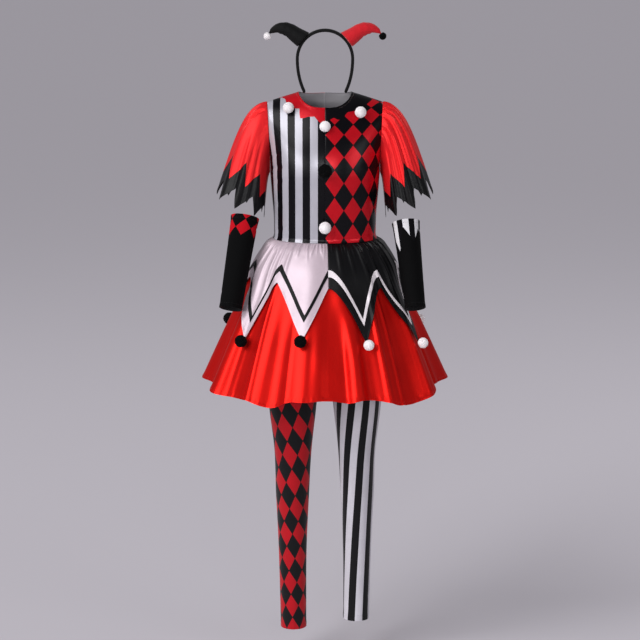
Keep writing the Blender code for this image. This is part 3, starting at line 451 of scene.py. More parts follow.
class CostumeCloth(bpy.types.PropertyGroup):
    """Walls, seams and hems."""

    thickness: size("Cloth", "Thickness of the satin shells", 0.0009)
    knit: size("Knit", "Thickness of the leggings and the arm warmers", 0.001)
    seam_gap: size("Seam gap", "Space between two pieces that are sewn together", 0.0003)
    hem: size("Hem", "Depth of the turned edges", 0.009)
    stitch: size("Stitch", "Length of one stitch", 0.0032)


class CostumePrints(bpy.types.PropertyGroup):
    """Repeats of the printed patterns."""

    stripe: size("Stripe", "Width of each black and white stripe", 0.0205)
    first_stripe: size("First stripe", "Width of the black stripe at the centre front", 0.019)
    diamond_width: size("Diamond width", "Width of the bodice's diamonds", 0.05)
    diamond_height: size("Diamond height", "Height of the bodice's diamonds", 0.0751)
    leg_diamond_width: size("Legging diamond width", "Before the knit is stretched", 0.043)
    leg_diamond_height: size("Legging diamond height", "Before the knit is stretched", 0.0748)
    cuff_stripe: size("Cuff stripe", "Width of the arm warmer's stripes", 0.0156)
    cuff_diamond_width: size("Cuff diamond width", "Repeat of the arm warmer's diamonds", 0.042)
    cuff_diamond_height: size("Cuff diamond height", "Height of those diamonds", 0.045)


class CostumeColours(bpy.types.PropertyGroup):
    """Dyes and yarns."""

    red: tone("Red satin", "Skirt", 0xD01412)
    # Sleeve red is the satin red lightened: painted light for the brighter light on the sleeves.
    sleeve_red: tone("Sleeve red", "Sleeves", 0xE2242A)
    print_red: tone("Printed red", "Diamonds and collar", 0xB80E1C)
    white: tone("White satin", "Right half of the overskirt", 0xC0AFB9)
    print_white: tone("Printed white", "Stripes", 0xABA9B2)
    black: tone("Black satin", "Left half of the overskirt, sleeve points", 0x0B0B0D)
    ribbon_white: tone("White ribbon", "Line on the overskirt's black half", 0xE2DADF)
    ribbon_black: tone("Black ribbon", "Line on the overskirt's white half", 0x060607)
    print_black: tone("Printed black", "Ground of the prints", 0x0A090D)
    knit_red: tone("Knit red", "Diamonds of the leggings", 0xA80A18)
    knit_white: tone("Knit white", "Stripes of the leggings", 0xBDBAC2)
    knit_black: tone("Knit black", "Arm warmers", 0x060607)
    cuff_white: tone("Cuff white", "Stripes of the left arm warmer", 0xD9D7DC)
    horn_red: tone("Horn red", "The left horn", 0xC01420)
    yarn_white: tone("White yarn", "White pompoms", 0xF2EEF0)
    yarn_black: tone("Black yarn", "Black pompoms", 0x050506)


class CostumeStage(bpy.types.PropertyGroup):
    """Floor and lights."""

    floor: tone("Floor", "Floor and surroundings", 0xBDB9C0)
    floor_height: FloatProperty(
        name="Floor height", description="Height of the floor", default=-1.56, unit="LENGTH"
    )
    key: FloatProperty(name="Top light", description="Broad light from above", default=2.3, min=0.0)
    surround: FloatProperty(name="Surround", description="Light all round", default=0.22, min=0.0)
    fill: FloatProperty(name="Front lights", description="Each", default=54.0, unit="POWER")
    rim: FloatProperty(name="Back lights", description="From behind", default=48.0, unit="POWER")


class CostumeYarn(bpy.types.PropertyGroup):
    """Pompoms."""

    strands: IntProperty(name="Strands", description="Cut ends on a pompom", default=900, min=50)
    strand: size("Strand", "Thickness of one cut end", 0.0013)


def mm(name, group="costume_cloth"):
    """A size from one of the property groups, in millimetres."""
    return getattr(getattr(bpy.context.scene, group), name) / MM


def print_sizes(*names):
    """Sizes of the printed patterns, in millimetres."""
    return [mm(name, "costume_prints") for name in names]


def dye(name):
    """A colour from the costume's own, as three linear numbers."""
    return tuple(getattr(bpy.context.scene.costume_colours, name))


# ---- small tools
def column(table, name):
    """One named column of a table as an array."""
    return np.array([getattr(row, name) for row in table])


def read_table(table, key, name, at):
    """A column's value at a place along the key column, on a smooth cubic through the rows."""
    xs, ys = column(table, key), column(table, name)
    if xs[0] > xs[-1]:
        xs, ys = xs[::-1], ys[::-1]
    steps = np.diff(xs)
    slopes = np.diff(ys) / steps
    inner = (slopes[:-1] * steps[1:] + slopes[1:] * steps[:-1]) / (steps[1:] + steps[:-1])
    inner = np.where(slopes[:-1] * slopes[1:] <= 0, 0.0, inner)
    tangent = np.concatenate([slopes[:1], inner, slopes[-1:]])
    at = np.asarray(at, float)
    held = np.clip(at, xs[0], xs[-1])
    i = np.clip(np.searchsorted(xs, held) - 1, 0, len(steps) - 1)
    t = (held - xs[i]) / steps[i]
    curve = (
        ys[i] * (1 + 2 * t) * (1 - t) ** 2
        + ys[i + 1] * t**2 * (3 - 2 * t)
        + steps[i] * (tangent[i] * t * (1 - t) ** 2 - tangent[i + 1] * t**2 * (1 - t))
    )
    return curve + np.where(at > held, tangent[-1], tangent[0]) * (at - held)


def power(value, exponent):
    """A power of the value's size that keeps its sign."""
    return np.sign(value) * np.abs(value) ** exponent


def unit(vectors):
    """Vectors brought to length 1."""
    return vectors / np.maximum(np.linalg.norm(vectors, axis=-1, keepdims=True), 1e-12)


def bump(offset, half_width):
    """A smooth hump, the squared cosine: 1 at no offset and 0 from its half width outwards."""
    return np.cos(np.clip(np.abs(offset) / half_width, 0, 1) * QUARTER) ** 2


def blend(start, end, share):
    """The value at a share of the way from a start to an end."""
    return start + (end - start) * share


def spaced(*runs):
    """Even steps in runs that follow each other, each given by its ends and its count."""
    parts = [np.linspace(*run)[:-1] for run in runs[:-1]]
    return np.concatenate([*parts, np.linspace(*runs[-1])])


def ramp(value, low, high):
    """A smooth rise from 0 at low to 1 at high: 3 t squared less 2 t cubed."""
    t = np.clip((value - low) / (high - low), 0, 1)
    return t * t * (3 - 2 * t)


def wrapped(offset, whole):
    """An offset round a ring, brought to within half a turn."""
    return np.mod(offset + whole / 2, whole) - whole / 2


def closer_at_ends(count):
    """Shares from 0 to 1 that lie closer together near both ends: half even, half cosine."""
    t = np.linspace(0, 1, count)
    return 0.5 * t + 0.25 * (1 - np.cos(np.pi * t))


def humps_at(table, place, whole):
    """Height of a table's humps at a place round a ring."""
    return sum(row.height * bump(wrapped(place - row.at, whole), row.half_width) for row in table)


def creases_at(table, around, down, whole):
    """Depth of a tube's soft creases: each is a hump across a slanting line, times a hump
    along it."""
    total = 0.0
    for row in table:
        off = wrapped(around - row.at, whole)
        line = row.down + row.slope * off / row.half_width
        total = total + row.depth * bump(down - line, row.half_height) * bump(off, row.half_width)
    return total


def folds_at(table, across, along, whole):
    """Height of all the folds of a table: each is a hump across, times its rise and its fade."""
    total = np.zeros(np.broadcast(across, along).shape)
    for row in table:
        middle = row.at + row.drift * np.clip((along - row.start) / (row.end - row.start), 0, 1)
        hump = bump(wrapped(across - middle, whole), row.half_width)
        fade = 1 - ramp(along, row.fade, row.end)
        total += row.height * hump * ramp(along, row.start, row.full) * fade
    return total


GATHER_AT, GATHER_FADE = (0.15, 0.85), 0.25  # shares of a gather's spacing and of its length


def scattered_folds(seed, count, first, last, rise, lengths, heights, widths):
    """Small gathers at uneven spacings, with lengths, heights and widths drawn between limits."""
    draw = np.random.default_rng(seed)
    step = (last - first) / count
    rows = []
    for number in range(count):
        at = first + (number + draw.uniform(*GATHER_AT)) * step
        length = draw.uniform(*lengths)
        height, half_width = draw.uniform(*heights), draw.uniform(*widths)
        rows.append(Fold(at, 0.0, 0.0, rise, length * GATHER_FADE, length, height, half_width))
    return tuple(rows)


# ---- making cloth
SHARP_ANGLE = math.radians(50)
# A seam's dip, and a turned edge's layer, stitched groove and puckers in waves of three lengths.
SEAM_DIP, SEAM_DIP_WIDTH = 0.7, 4.0
EDGE_LAYER, EDGE_SLOPE = 0.45, (-0.8, 1.6)
GROOVE, GROOVE_INSET, GROOVE_HALF_WIDTH = 0.4, 1.2, 1.3
PUCKER, PUCKER_WAVES = 0.5, (2.9, 7.3, 4.7)
# A stitch's pitch as a share of its length, its radius, and how far its middle stands above the
# cloth and its ends dip.
STITCH_PITCH, STITCH_RADIUS, STITCH_LIFT, STITCH_DIP = 1.35, 0.34, 0.12, 0.3


def new_object(name, data):
    """An object in the scene that carries a mesh, a light or a camera."""
    made = bpy.data.objects.new(name, data)
    bpy.context.scene.collection.objects.link(made)
    return made


def finish_piece(name, mesh, materials, nodes=()):
    """An object at the origin that rides on the costume and stands for its CAD nodes."""
    for material in materials:
        mesh.materials.append(material)
    mesh.shade_smooth()
    mesh.set_sharp_from_angle(angle=SHARP_ANGLE)
    piece = new_object(name, mesh)
    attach(piece, "root")
    if nodes:
        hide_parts(*nodes)
    return piece


def shell_mesh(name, outer, inner, flat, closed, outward, marks):
    """A shell from the outer and the inner grid of a cloth, joined round its rims. The layers'
    corners are numbered i along the first parameter and j along the second. flat gives each
    corner's place on the cut cloth in millimetres, and has one row more where the grid closes."""
    rows, columns = outer.shape[:2]
    spans = rows if closed else rows - 1
    i, j = (part.ravel() for part in np.mgrid[0:spans, 0 : columns - 1])
    side, end = np.arange(spans), np.arange(columns - 1)
    last_i, last_j = rows - 1, columns - 1

    def quads(corners, layers):
        """Four (i, j) corners with their layers, as vertex numbers and flat numbers."""
        vertex, place = [], []
        for (a, b), layer in zip(corners, layers):
            a, b = np.broadcast_arrays(a, b)
            vertex.append(layer * rows * columns + np.mod(a, rows) * columns + b)
            place.append(a * columns + b)
        return np.stack(vertex, 1), np.stack(place, 1)

    parts = [
        quads([(i, j), (i + 1, j), (i + 1, j + 1), (i, j + 1)], (0, 0, 0, 0)),
        quads([(i, j), (i, j + 1), (i + 1, j + 1), (i + 1, j)], (1, 1, 1, 1)),
        quads([(side + 1, 0), (side, 0), (side, 0), (side + 1, 0)], (0, 0, 1, 1)),
        quads([(side, last_j), (side + 1, last_j), (side + 1, last_j), (side, last_j)], (0, 0, 1, 1)),
    ]
    if not closed:
        parts.append(quads([(0, end), (0, end + 1), (0, end + 1), (0, end)], (0, 0, 1, 1)))
        parts.append(
            quads([(last_i, end + 1), (last_i, end), (last_i, end), (last_i, end + 1)], (0, 0, 1, 1))
        )
    faces = np.concatenate([part[0] for part in parts])
    places = np.concatenate([part[1] for part in parts])
    if not outward:
        faces, places = faces[:, ::-1], places[:, ::-1]
    points = np.concatenate([outer.reshape(-1, 3), inner.reshape(-1, 3)]) * MM
    mesh = bpy.data.meshes.new(name)
    mesh.from_pydata(points.tolist(), [], faces.tolist())
    layer = mesh.uv_layers.new(name="flat")
    layer.data.foreach_set("uv", (flat.reshape(-1, 2)[places.ravel()] * MM).ravel())
    reverse = np.zeros(len(faces), np.int32)
    reverse[len(parts[0][0]) : 2 * len(parts[0][0])] = 1
    mesh.polygons.foreach_set("material_index", reverse)
    for mark, values in (marks or {}).items():
        attribute = mesh.attributes.new(mark, "FLOAT", "POINT")
        attribute.data.foreach_set("value", np.tile(values.ravel(), 2).astype(np.float32))
    return mesh


def facing(surface, a, b, outward):
    """Unit normals: the cross product of the surface's two slopes, by small differences."""
    step = 1e-4
    along_a = surface(a + step, b) - surface(a - step, b)
    along_b = surface(a, b + step) - surface(a, b - step)
    normal = unit(np.cross(along_a, along_b))
    return normal if outward else -normal


def pull_in(edge, beside, normal, closed):
    """An edge moved half a seam gap towards its own piece, square to both runs at each point."""
    ahead = np.roll(edge, -1, axis=0) - edge
    behind = edge - np.roll(edge, 1, axis=0)
    if not closed:
        ahead[-1], behind[0] = behind[-1], ahead[0]
    side_a, side_b = unit(np.cross(normal, ahead)), unit(np.cross(normal, behind))
    turned = np.sign(np.sum(side_a * (beside - edge)))
    mitre = (side_a + side_b) / (1 + np.sum(side_a * side_b, axis=-1, keepdims=True))
    return edge + turned * mm("seam_gap") / 2 * mitre


def lengths_along(grid, axis):
    """Length travelled along one way of a grid, from 0 at its first line."""
    steps = np.linalg.norm(np.diff(grid, axis=axis), axis=-1)
    total = np.cumsum(steps, axis=axis)
    zero = np.zeros_like(np.take(total, [0], axis=axis))
    return np.concatenate([zero, total], axis=axis)


Cloth = namedtuple("Cloth", "outer normal")


def sew(
    name, surface, a, b, thick, materials, nodes, flat,
    relief=0.0, seams="", closed=False, outward=True, marks=None,
):
    """A cloth on a surface: raised by its relief along the normals, its seams pulled in, and
    given a thickness towards the inside."""
    base = surface(a, b)
    normal = facing(surface, a, b, outward)
    outer = base + np.broadcast_to(relief, a.shape)[..., None] * normal
    whole = outer.copy()
    for edge in seams.split():
        last = -1 if edge[1] == "1" else 0
        beside = -2 if last else 1
        if edge[0] == "a":
            moved = pull_in(whole[last], whole[beside], normal[last], False)
            outer[last] += moved - whole[last]
        else:
            moved = pull_in(whole[:, last], whole[:, beside], normal[:, last], closed)
            outer[:, last] += moved - whole[:, last]
    mesh = shell_mesh(name, outer, outer - thick * normal, flat, closed, outward, marks)
    piece = finish_piece(name, mesh, materials, nodes)
    return Cloth(outer, normal)


def seam_roll(distance):
    """Cloth dips into a seam: a parabola, deepest at the seam and level at the dip's width."""
    return -SEAM_DIP * np.clip(1 - distance / SEAM_DIP_WIDTH, 0, 1) ** 2


def turned_edge(distance, depth, along=None):
    """A turned and stitched edge: one layer higher up to its depth, with a groove at the
    stitching. Where along is given, small uneven puckers cross it."""
    raised = EDGE_LAYER * (1 - ramp(distance - depth, *EDGE_SLOPE))
    raised = raised - GROOVE * bump(distance - depth + GROOVE_INSET, GROOVE_HALF_WIDTH)
    if along is not None:
        short, long, middle = (along / length for length in PUCKER_WAVES)
        wave = np.sin(short) * np.sin(long + 1.0) + 0.6 * np.sin(middle + 2.0)
        raised = raised + PUCKER * wave * bump(distance - depth * 0.7, depth * 1.5)
    return raised


def stitch_mesh(name, lines):
    """Stitches along lines, each a spindle: a square ring between two pointed ends. lines holds
    pairs of points and normals."""
    length, radius = mm("stitch"), STITCH_RADIUS
    pitch = length * STITCH_PITCH
    verts, faces, start = [], [], 0
    for points, normals in lines:
        run = lengths_along(points[:, None], 0)[:, 0]
        at = np.arange(pitch, run[-1] - pitch / 2, pitch)
        middle = np.stack([np.interp(at, run, points[:, n]) for n in range(3)], 1)
        ahead = np.stack([np.interp(at + 0.5, run, points[:, n]) for n in range(3)], 1) - middle
        out = unit(np.stack([np.interp(at, run, normals[:, n]) for n in range(3)], 1))
        ahead = unit(ahead)
        aside = np.cross(out, ahead)
        middle = middle + STITCH_LIFT * out
        corners = [
            middle - ahead * length / 2 - STITCH_DIP * out,
            middle + aside * radius,
            middle + out * radius,
            middle - aside * radius,
            middle - out * radius,
            middle + ahead * length / 2 - STITCH_DIP * out,
        ]
        verts.append(np.stack(corners, 1).reshape(-1, 3))
        ring = np.array([[1, 2], [2, 3], [3, 4], [4, 1]])
        back = np.column_stack([np.zeros(4, int), ring[:, ::-1]])
        front = np.column_stack([np.full(4, 5), ring])
        one = np.concatenate([back, front])
        count = len(at)
        faces.append((one[None] + 6 * np.arange(count)[:, None, None]).reshape(-1, 3) + start)
        start += 6 * count
    mesh = bpy.data.meshes.new(name)
    mesh.from_pydata((np.concatenate(verts) * MM).tolist(), [], np.concatenate(faces).tolist())
    tidy = bmesh.new()
    tidy.from_mesh(mesh)
    bmesh.ops.recalc_face_normals(tidy, faces=tidy.faces)
    tidy.to_mesh(mesh)
    tidy.free()
    return mesh


def row_of(cloth, number):
    """The points and normals along one line of a cloth's grid."""
    return cloth.outer[:, number], cloth.normal[:, number]


def stitching(name, lines, face):
    """The stitches of some lines as one piece of sewing thread."""
    finish_piece(name, stitch_mesh(name, lines), [finish(face)])


# ---- finishes
# Where the prints lie on the cut cloth, in millimetres across and along: the middle of a diamond
# or the start of a stripe. The right cuff's diamonds lean across by a share of the way down.
BODICE_DIAMOND, CUFF_DIAMOND, CUFF_LEAN, CUFF_STRIPE_START = (25.2, 13.5), (4.0, 35.0), 0.14, -9.1
DIAMOND_REACH = 0.488  # just under half a repeat, so that the diamonds' corners stay apart
# The dye drifts between two shades in patches about 80 mm wide. Noise lies mostly in its range.
DRIFT_SCALE, DRIFT_DARK, DRIFT_LIGHT = 0.012, 0.9, 1.06
NOISE_RANGE = {"From Min": 0.3, "From Max": 0.7}
THREAD_BUMP = 0.5
MIX = "ShaderNodeMix"
PALE_DYE = 0.2  # a dye with a channel above this lets light scatter at the fibres' ends

# Thread spacings across and along in millimetres, the height of the threads, and how much
# painted shade darkens the cloth between them.
Weave = namedtuple("Weave", "across along relief shade")
# Polyester satin floats its threads over several others, so it is smooth and mirrors light in
# broad soft bands of its own hue. Its 0.15 mm threads are drawn 0.9 mm apart to show at all.
SATIN_WEAVE = Weave(0.9, 7.0, 0.05, 0.07)
# Its back shows the binding side of the weave, which is dull.
REVERSE_WEAVE = Weave(1.1, 1.1, 0.12, 0.12)
# Printed stretch satin is a fine knit with a calendered face, so its shine is narrower.
PRINT_WEAVE = Weave(1.0, 2.6, 0.05, 0.05)
# Polyester and elastane jersey: wales 0.5 mm apart, drawn at 1.4 mm, soft and nearly matt.
JERSEY_WEAVE = Weave(1.4, 4.5, 0.14, 0.1)
# Brushed velour: its short pile drinks the light. The grain of its tufts is drawn coarser than
# the real 0.3 mm, longer on the arm warmers' cut than round the headband and its horns.
VELOUR_WEAVE, COVER_WEAVE = Weave(1.2, 1.6, 0.2, 0.25), Weave(1.2, 1.2, 0.18, 0.16)
# Acrylic yarn frays into fine fibres, and sewing thread is twisted from finer ones still.
YARN_WEAVE, THREAD_WEAVE = Weave(0.9, 0.9, 0.1, 0.12), Weave(0.4, 0.4, 0.03, 0.1)

# How satin throws light back: the hue of its gloss, its roughness, how much of the light it
# mirrors in its own hue, and the strength of its clear gloss.
Shine = namedtuple("Shine", "tint roughness metallic level")
SKIRT_SHINE = Shine((1.0, 0.32, 0.18), 0.33, 0.6, 0.45)
SLEEVE_SHINE = Shine((1.0, 0.36, 0.24), 0.4, 0.3, 0.4)
WHITE_SHINE = Shine((1.0, 0.97, 1.0), 0.38, 0.2, 0.3)
BLACK_SHINE = Shine((1.0, 1.0, 1.0), 0.38, 0.15, 0.2)
BLACK_RIBBON_SHINE = Shine((1.0, 1.0, 1.0), 0.45, 0.0, 0.12)


def add(material, kind, settings=None, links=None):
    """Adds one node. Settings set its properties or its sockets, and links join sockets. A
    colour given in place of a socket to link is set."""
    node = material.node_tree.nodes.new(kind)
    for name, value in (settings or {}).items():
        if isinstance(name, str) and hasattr(node, name):
            setattr(node, name, value)
        else:
            node.inputs[name].default_value = value
    for name, source in (links or {}).items():
        if isinstance(source, tuple):
            node.inputs[name].default_value = (*source, 1)
        else:
            material.node_tree.links.new(source, node.inputs[name])
    return node


def maths(material, operation, *values):
    """The result of one maths node. Each value is a number to set or a socket to link."""
    node = add(material, "ShaderNodeMath", {"operation": operation})
    for socket, value in zip(node.inputs, values):
        if isinstance(value, (int, float)):
            socket.default_value = value
        else:
            material.node_tree.links.new(value, socket)
    return node.outputs[0]


def new_material(name):
    """A material with an empty node tree."""
    material = bpy.data.materials.new(name)
    material.use_nodes = True
    material.node_tree.nodes.clear()
    return material


def flat_place(material):
    """The place on the cut cloth in millimetres, whole and then across and along."""
    uv = add(material, "ShaderNodeUVMap", {"uv_map": "flat"})
    to_mm = {"operation": "SCALE", "Scale": 1 / MM}
    place = add(material, "ShaderNodeVectorMath", to_mm, {0: uv.outputs[0]})
    split = add(material, "ShaderNodeSeparateXYZ", {}, {0: place.outputs[0]})
    return place.outputs[0], split.outputs[0], split.outputs[1]


def solid_place(material):
    """The place in the piece's own coordinates in millimetres, for pieces without a flat cut."""
    where = add(material, "ShaderNodeTexCoord")
    to_mm = {"operation": "SCALE", "Scale": 1 / MM}
    return add(material, "ShaderNodeVectorMath", to_mm, {0: where.outputs["Object"]}).outputs[0]


def striped(material, across, width, first):
    """1 on the black stripes: alternate stripes of one width, after a first one of its own."""
    pairs = maths(material, "DIVIDE", maths(material, "SUBTRACT", across, first), 2 * width)
    return maths(material, "GREATER_THAN", maths(material, "FRACT", pairs), 0.5)


def diamonds(material, places, repeats, middles):
    """1 inside the diamonds: the distances to the nearest column and to the nearest row, as
    shares of the repeats, add up to less than the diamonds' reach."""
    near = []
    for place, repeat, middle in zip(places, repeats, middles):
        turns = maths(material, "DIVIDE", maths(material, "SUBTRACT", place, middle), repeat)
        near.append(maths(material, "PINGPONG", turns, 0.5))
    return maths(material, "LESS_THAN", maths(material, "ADD", *near), DIAMOND_REACH)


def where_marked(material, mark, outside, inside):
    """One colour outside a marked part of the cloth and another where the mark is above 0."""
    depth = add(material, "ShaderNodeAttribute", {"attribute_name": mark})
    mask = maths(material, "GREATER_THAN", depth.outputs["Fac"], 0.0)
    colours = {0: mask, 6: outside, 7: inside}
    return add(material, MIX, {"data_type": "RGBA"}, colours).outputs[2]


def cloth_finish(material, colour, place, weave, shader_settings):
    """Joins a colour to a shader with a weave. The colour drifts a little over a hand's width,
    and the threads are long narrow noise, raised, with painted shade in the gaps between them."""
    spacing = {"Scale": (1 / weave.across, 1 / weave.along, 1)}
    threads = add(material, "ShaderNodeMapping", spacing, {"Vector": place})
    fine = {"Scale": 1.0, "Detail": 2.0, "Roughness": 0.6}
    thread = add(material, "ShaderNodeTexNoise", fine, {"Vector": threads.outputs[0]})
    broad = {"Scale": DRIFT_SCALE, "Detail": 3.0}
    patches = add(material, "ShaderNodeTexNoise", broad, {"Vector": place})
    shades = NOISE_RANGE | {"To Min": DRIFT_DARK, "To Max": DRIFT_LIGHT}
    drift = add(material, "ShaderNodeMapRange", shades, {"Value": patches.outputs[0]})
    # Painted shade: the colour is darkened between the threads, where the thread noise is low.
    gaps = NOISE_RANGE | {"To Min": 1 - weave.shade, "To Max": 1.0}
    darker = add(material, "ShaderNodeMapRange", gaps, {"Value": thread.outputs[0]})
    value = maths(material, "MULTIPLY", drift.outputs[0], darker.outputs[0])
    multiplied = {"data_type": "RGBA", "blend_type": "MULTIPLY", 0: 1.0}
    shaded = add(material, MIX, multiplied, {6: colour, 7: value})
    relief = {"Strength": THREAD_BUMP, "Distance": weave.relief * MM}
    raised = add(material, "ShaderNodeBump", relief, {"Height": thread.outputs[0]})
    shader = add(
        material, "ShaderNodeBsdfPrincipled", shader_settings,
        {"Base Color": shaded.outputs[2], "Normal": raised.outputs[0]},
    )
    add(material, "ShaderNodeOutputMaterial", {}, {"Surface": shader.outputs[0]})
    return material


def dull_settings(sheen, gloss=0.2, roughness=0.85):
    """Matt fibres: a weak gloss, and a sheen where light grazes the fibres' ends."""
    return {
        "Roughness": roughness, "IOR": 1.45, "Specular IOR Level": gloss,
        "Sheen Weight": sheen, "Sheen Roughness": 0.5,
    }


def satin(name, colour, shine):
    """Polyester satin: gloss in the cloth's own hue, from smooth threads over a dyed body."""
    material = new_material(name)
    settings = {
        "Roughness": shine.roughness, "IOR": 1.5, "Metallic": shine.metallic,
        "Specular IOR Level": shine.level, "Specular Tint": (*shine.tint, 1),
    }
    return cloth_finish(material, colour, flat_place(material)[0], SATIN_WEAVE, settings)


def reverse(name, colour):
    """The dull back of a satin or a print, and the plain face of a jersey."""
    material = new_material(name)
    place = flat_place(material)[0]
    return cloth_finish(material, colour, place, REVERSE_WEAVE, dull_settings(0.1))


def bodice_print(side):
    """Printed satin: stripes or diamonds below a zigzag collar of one colour."""
    striped_side = side == "right"
    material = new_material("printed_stretch_satin_" + ("stripes" if striped_side else "diamonds"))
    place, across, along = flat_place(material)
    if striped_side:
        mask = striped(material, across, *print_sizes("stripe", "first_stripe"))
        low, high, collar = dye("print_white"), dye("print_black"), dye("print_red")
    else:
        repeats = print_sizes("diamond_width", "diamond_height")
        mask = diamonds(material, (across, along), repeats, BODICE_DIAMOND)
        low, high, collar = dye("print_black"), dye("print_red"), dye("print_black")
    printed = add(material, MIX, {"data_type": "RGBA"}, {0: mask, 6: low, 7: high})
    colour = where_marked(material, "collar", printed.outputs[2], collar)
    shine = {
        "Roughness": 0.27, "IOR": 1.5, "Metallic": 0.22, "Specular IOR Level": 0.15,
        "Anisotropic": 0.3,
    }
    return cloth_finish(material, colour, place, PRINT_WEAVE, shine)


def legging_print(side):
    """Printed jersey: diamonds on the right leg, stripes on the left one."""
    material = new_material("printed_jersey_" + ("diamonds" if side == "right" else "stripes"))
    place, across, along = flat_place(material)
    cut = LEG_PRINTS[side]
    if side == "right":
        repeats = print_sizes("leg_diamond_width", "leg_diamond_height")
        mask = diamonds(material, (across, along), repeats, (cut.across, cut.down))
        low, high = dye("print_black"), dye("knit_red")
    else:
        mask = striped(material, across, LEG_STRIPE, cut.across)
        low, high = dye("knit_white"), dye("print_black")
    colour = add(material, MIX, {"data_type": "RGBA"}, {0: mask, 6: low, 7: high})
    return cloth_finish(material, colour.outputs[2], place, JERSEY_WEAVE, dull_settings(0.12))


def cuff_print(side):
    """Velour with a printed cuff of the bodice's print, shown where the cuff mark is above 0."""
    material = new_material("velour_with_printed_cuff_" + side)
    place, across, along = flat_place(material)
    if side == "right":
        repeats = print_sizes("cuff_diamond_width", "cuff_diamond_height")
        lean = maths(material, "ADD", across, maths(material, "MULTIPLY", along, CUFF_LEAN))
        mask = diamonds(material, (lean, along), repeats, CUFF_DIAMOND)
        low, high = dye("knit_black"), dye("print_red")
    else:
        mask = striped(material, across, *print_sizes("cuff_stripe"), CUFF_STRIPE_START)
        low, high = dye("cuff_white"), dye("print_black")
    printed = add(material, MIX, {"data_type": "RGBA"}, {0: mask, 6: low, 7: high})
    colour = where_marked(material, "cuff", dye("knit_black"), printed.outputs[2])
    return cloth_finish(material, colour, place, VELOUR_WEAVE, dull_settings(0.0, 0.08))


def cover_velour(name, colour):
    """Brushed velour of the headband and its horns: matt, with a faint bloom on a pale dye."""
    material = new_material(name)
    settings = dull_settings(0.15 if max(colour) > PALE_DYE else 0.02, 0.2, 0.75)
    return cloth_finish(material, colour, solid_place(material), COVER_WEAVE, settings)


def yarn(name, colour):
    """Cut acrylic yarn: matt fibres that scatter light, with painted shade down between the ends."""
    material = new_material(name)
    settings = dull_settings(0.3 if max(colour) > PALE_DYE else 0.03, 0.1, 0.95)
    return cloth_finish(material, colour, solid_place(material), YARN_WEAVE, settings)


def thread(name, colour):
    """Sewing thread: twisted polyester, so each stitch has a small glint."""
    material = new_material(name)
    settings = {"Roughness": 0.5, "IOR": 1.5, "Specular IOR Level": 0.5}
    return cloth_finish(material, colour, solid_place(material), THREAD_WEAVE, settings)


# Each finish: the function that makes it, its colour, and for a satin its shine.
FINISHES = {
    # The skirt's dyed satin mirrors light in deep red bands.
    "red_polyester_satin": (satin, "red", SKIRT_SHINE),
    # The sleeves' satin is lightened in colour as painted light, and its broad gloss keeps them even.
    "red_sleeve_satin": (satin, "sleeve_red", SLEEVE_SHINE),
    # White satin has a pearly gloss that is hardly brighter than its cloth.
    "white_polyester_satin": (satin, "white", WHITE_SHINE),
    # Black satin is seen by its grey bands alone.
    "black_polyester_satin": (satin, "black", BLACK_SHINE),
    # Narrow satin ribbon lies flat, so it stays clean white or deep black.
    "white_satin_ribbon": (satin, "ribbon_white", WHITE_SHINE),
    "black_satin_ribbon": (satin, "ribbon_black", BLACK_RIBBON_SHINE),
    # The binding side of each satin, dull and a shade lighter or darker than its face.
    "red_satin_reverse": (reverse, 0xA81818),
    "white_satin_reverse": (reverse, 0xCFC9CD),
    "black_satin_reverse": (reverse, 0x1E1E20),
    # Prints stay on the face, so the inside shows the white ground, greyed by the dye behind.
    "unprinted_reverse": (reverse, 0xB9B6BC),
    # Black jersey of the waistband and inside the arm warmers, soft and matt.
    "black_jersey": (reverse, 0x121214),
    "black_velour": (cover_velour, "knit_black"),
    "red_velour": (cover_velour, "horn_red"),
    "white_yarn": (yarn, "yarn_white"),
    "black_yarn": (yarn, "yarn_black"),
    "red_thread": (thread, 0xB41418),
    "white_thread": (thread, 0xD8D2D6),
    "black_thread": (thread, 0x1A1A1C),
    "peach_thread": (thread, 0x8C7875),
}


def finish(name):
    """A material by its name, made the first time that it is asked for."""
    found = bpy.data.materials.get(name)
    maker, colour, *shine = FINISHES[name]
    colour = dye(colour) if isinstance(colour, str) else linear(colour)
    return found or maker(name, colour, *shine)


# ---- bodice
TROUGH_RISE, TROUGH_FADE = (-0.15, 0.25), (0.45, 1.1)  # shares of the way along a trough
# The waist seam lifts the bodice's lower edge, and the neckline is turned in and stitched.
WAIST_LIFT, WAIST_LIFT_WIDTH, NECK_HEM, NECK_STITCH = 3.4, 13.0, 6.5, 5.3


def ridge(x):
    """Height of the shoulder line: a hyperbola, rounded over at the middle of the neck."""
    return RIDGE_HEIGHT - RIDGE_FALL * (np.sqrt(x**2 + RIDGE_ROUND**2) - RIDGE_ROUND)


def dome_width(phi):
    """Half width of the dome: from the underarm's to its own, by the sine's square."""
    under = TORSO[-1].half_width
    return under + (DOME_HALF_WIDTH - under) * np.sin(phi) ** 2


def torso(theta, level, back):
    """The body's form. Level 0 to 1 climbs from the waist to the underarm on ovals, and 1 to 2
    over a dome to the shoulder line. Theta is 0 at the centre and a quarter turn at the side."""
    up = np.clip(level, None, 1)
    z = blend(WAIST_Z, UNDERARM_Z, up)
    phi = np.clip(level - 1, 0, None) * QUARTER
    side = "back_depth" if back else "front_depth"
    climbing = level > 1
    wide = np.where(climbing, dome_width(phi), read_table(TORSO, "z", "half_width", z))
    deep = np.where(climbing, getattr(TORSO[-1], side), read_table(TORSO, "z", side, z))
    x = wide * np.sin(theta)
    fall = DOME_BACK_POWER if back else DOME_FRONT_POWER
    y = deep * power(np.cos(theta), BODY_SQUARENESS) * power(np.cos(phi), fall)
    z = np.where(climbing, UNDERARM_Z + (ridge(x) - UNDERARM_Z) * np.sin(phi), z)
    return np.stack([x, y if back else -y, z], axis=-1)


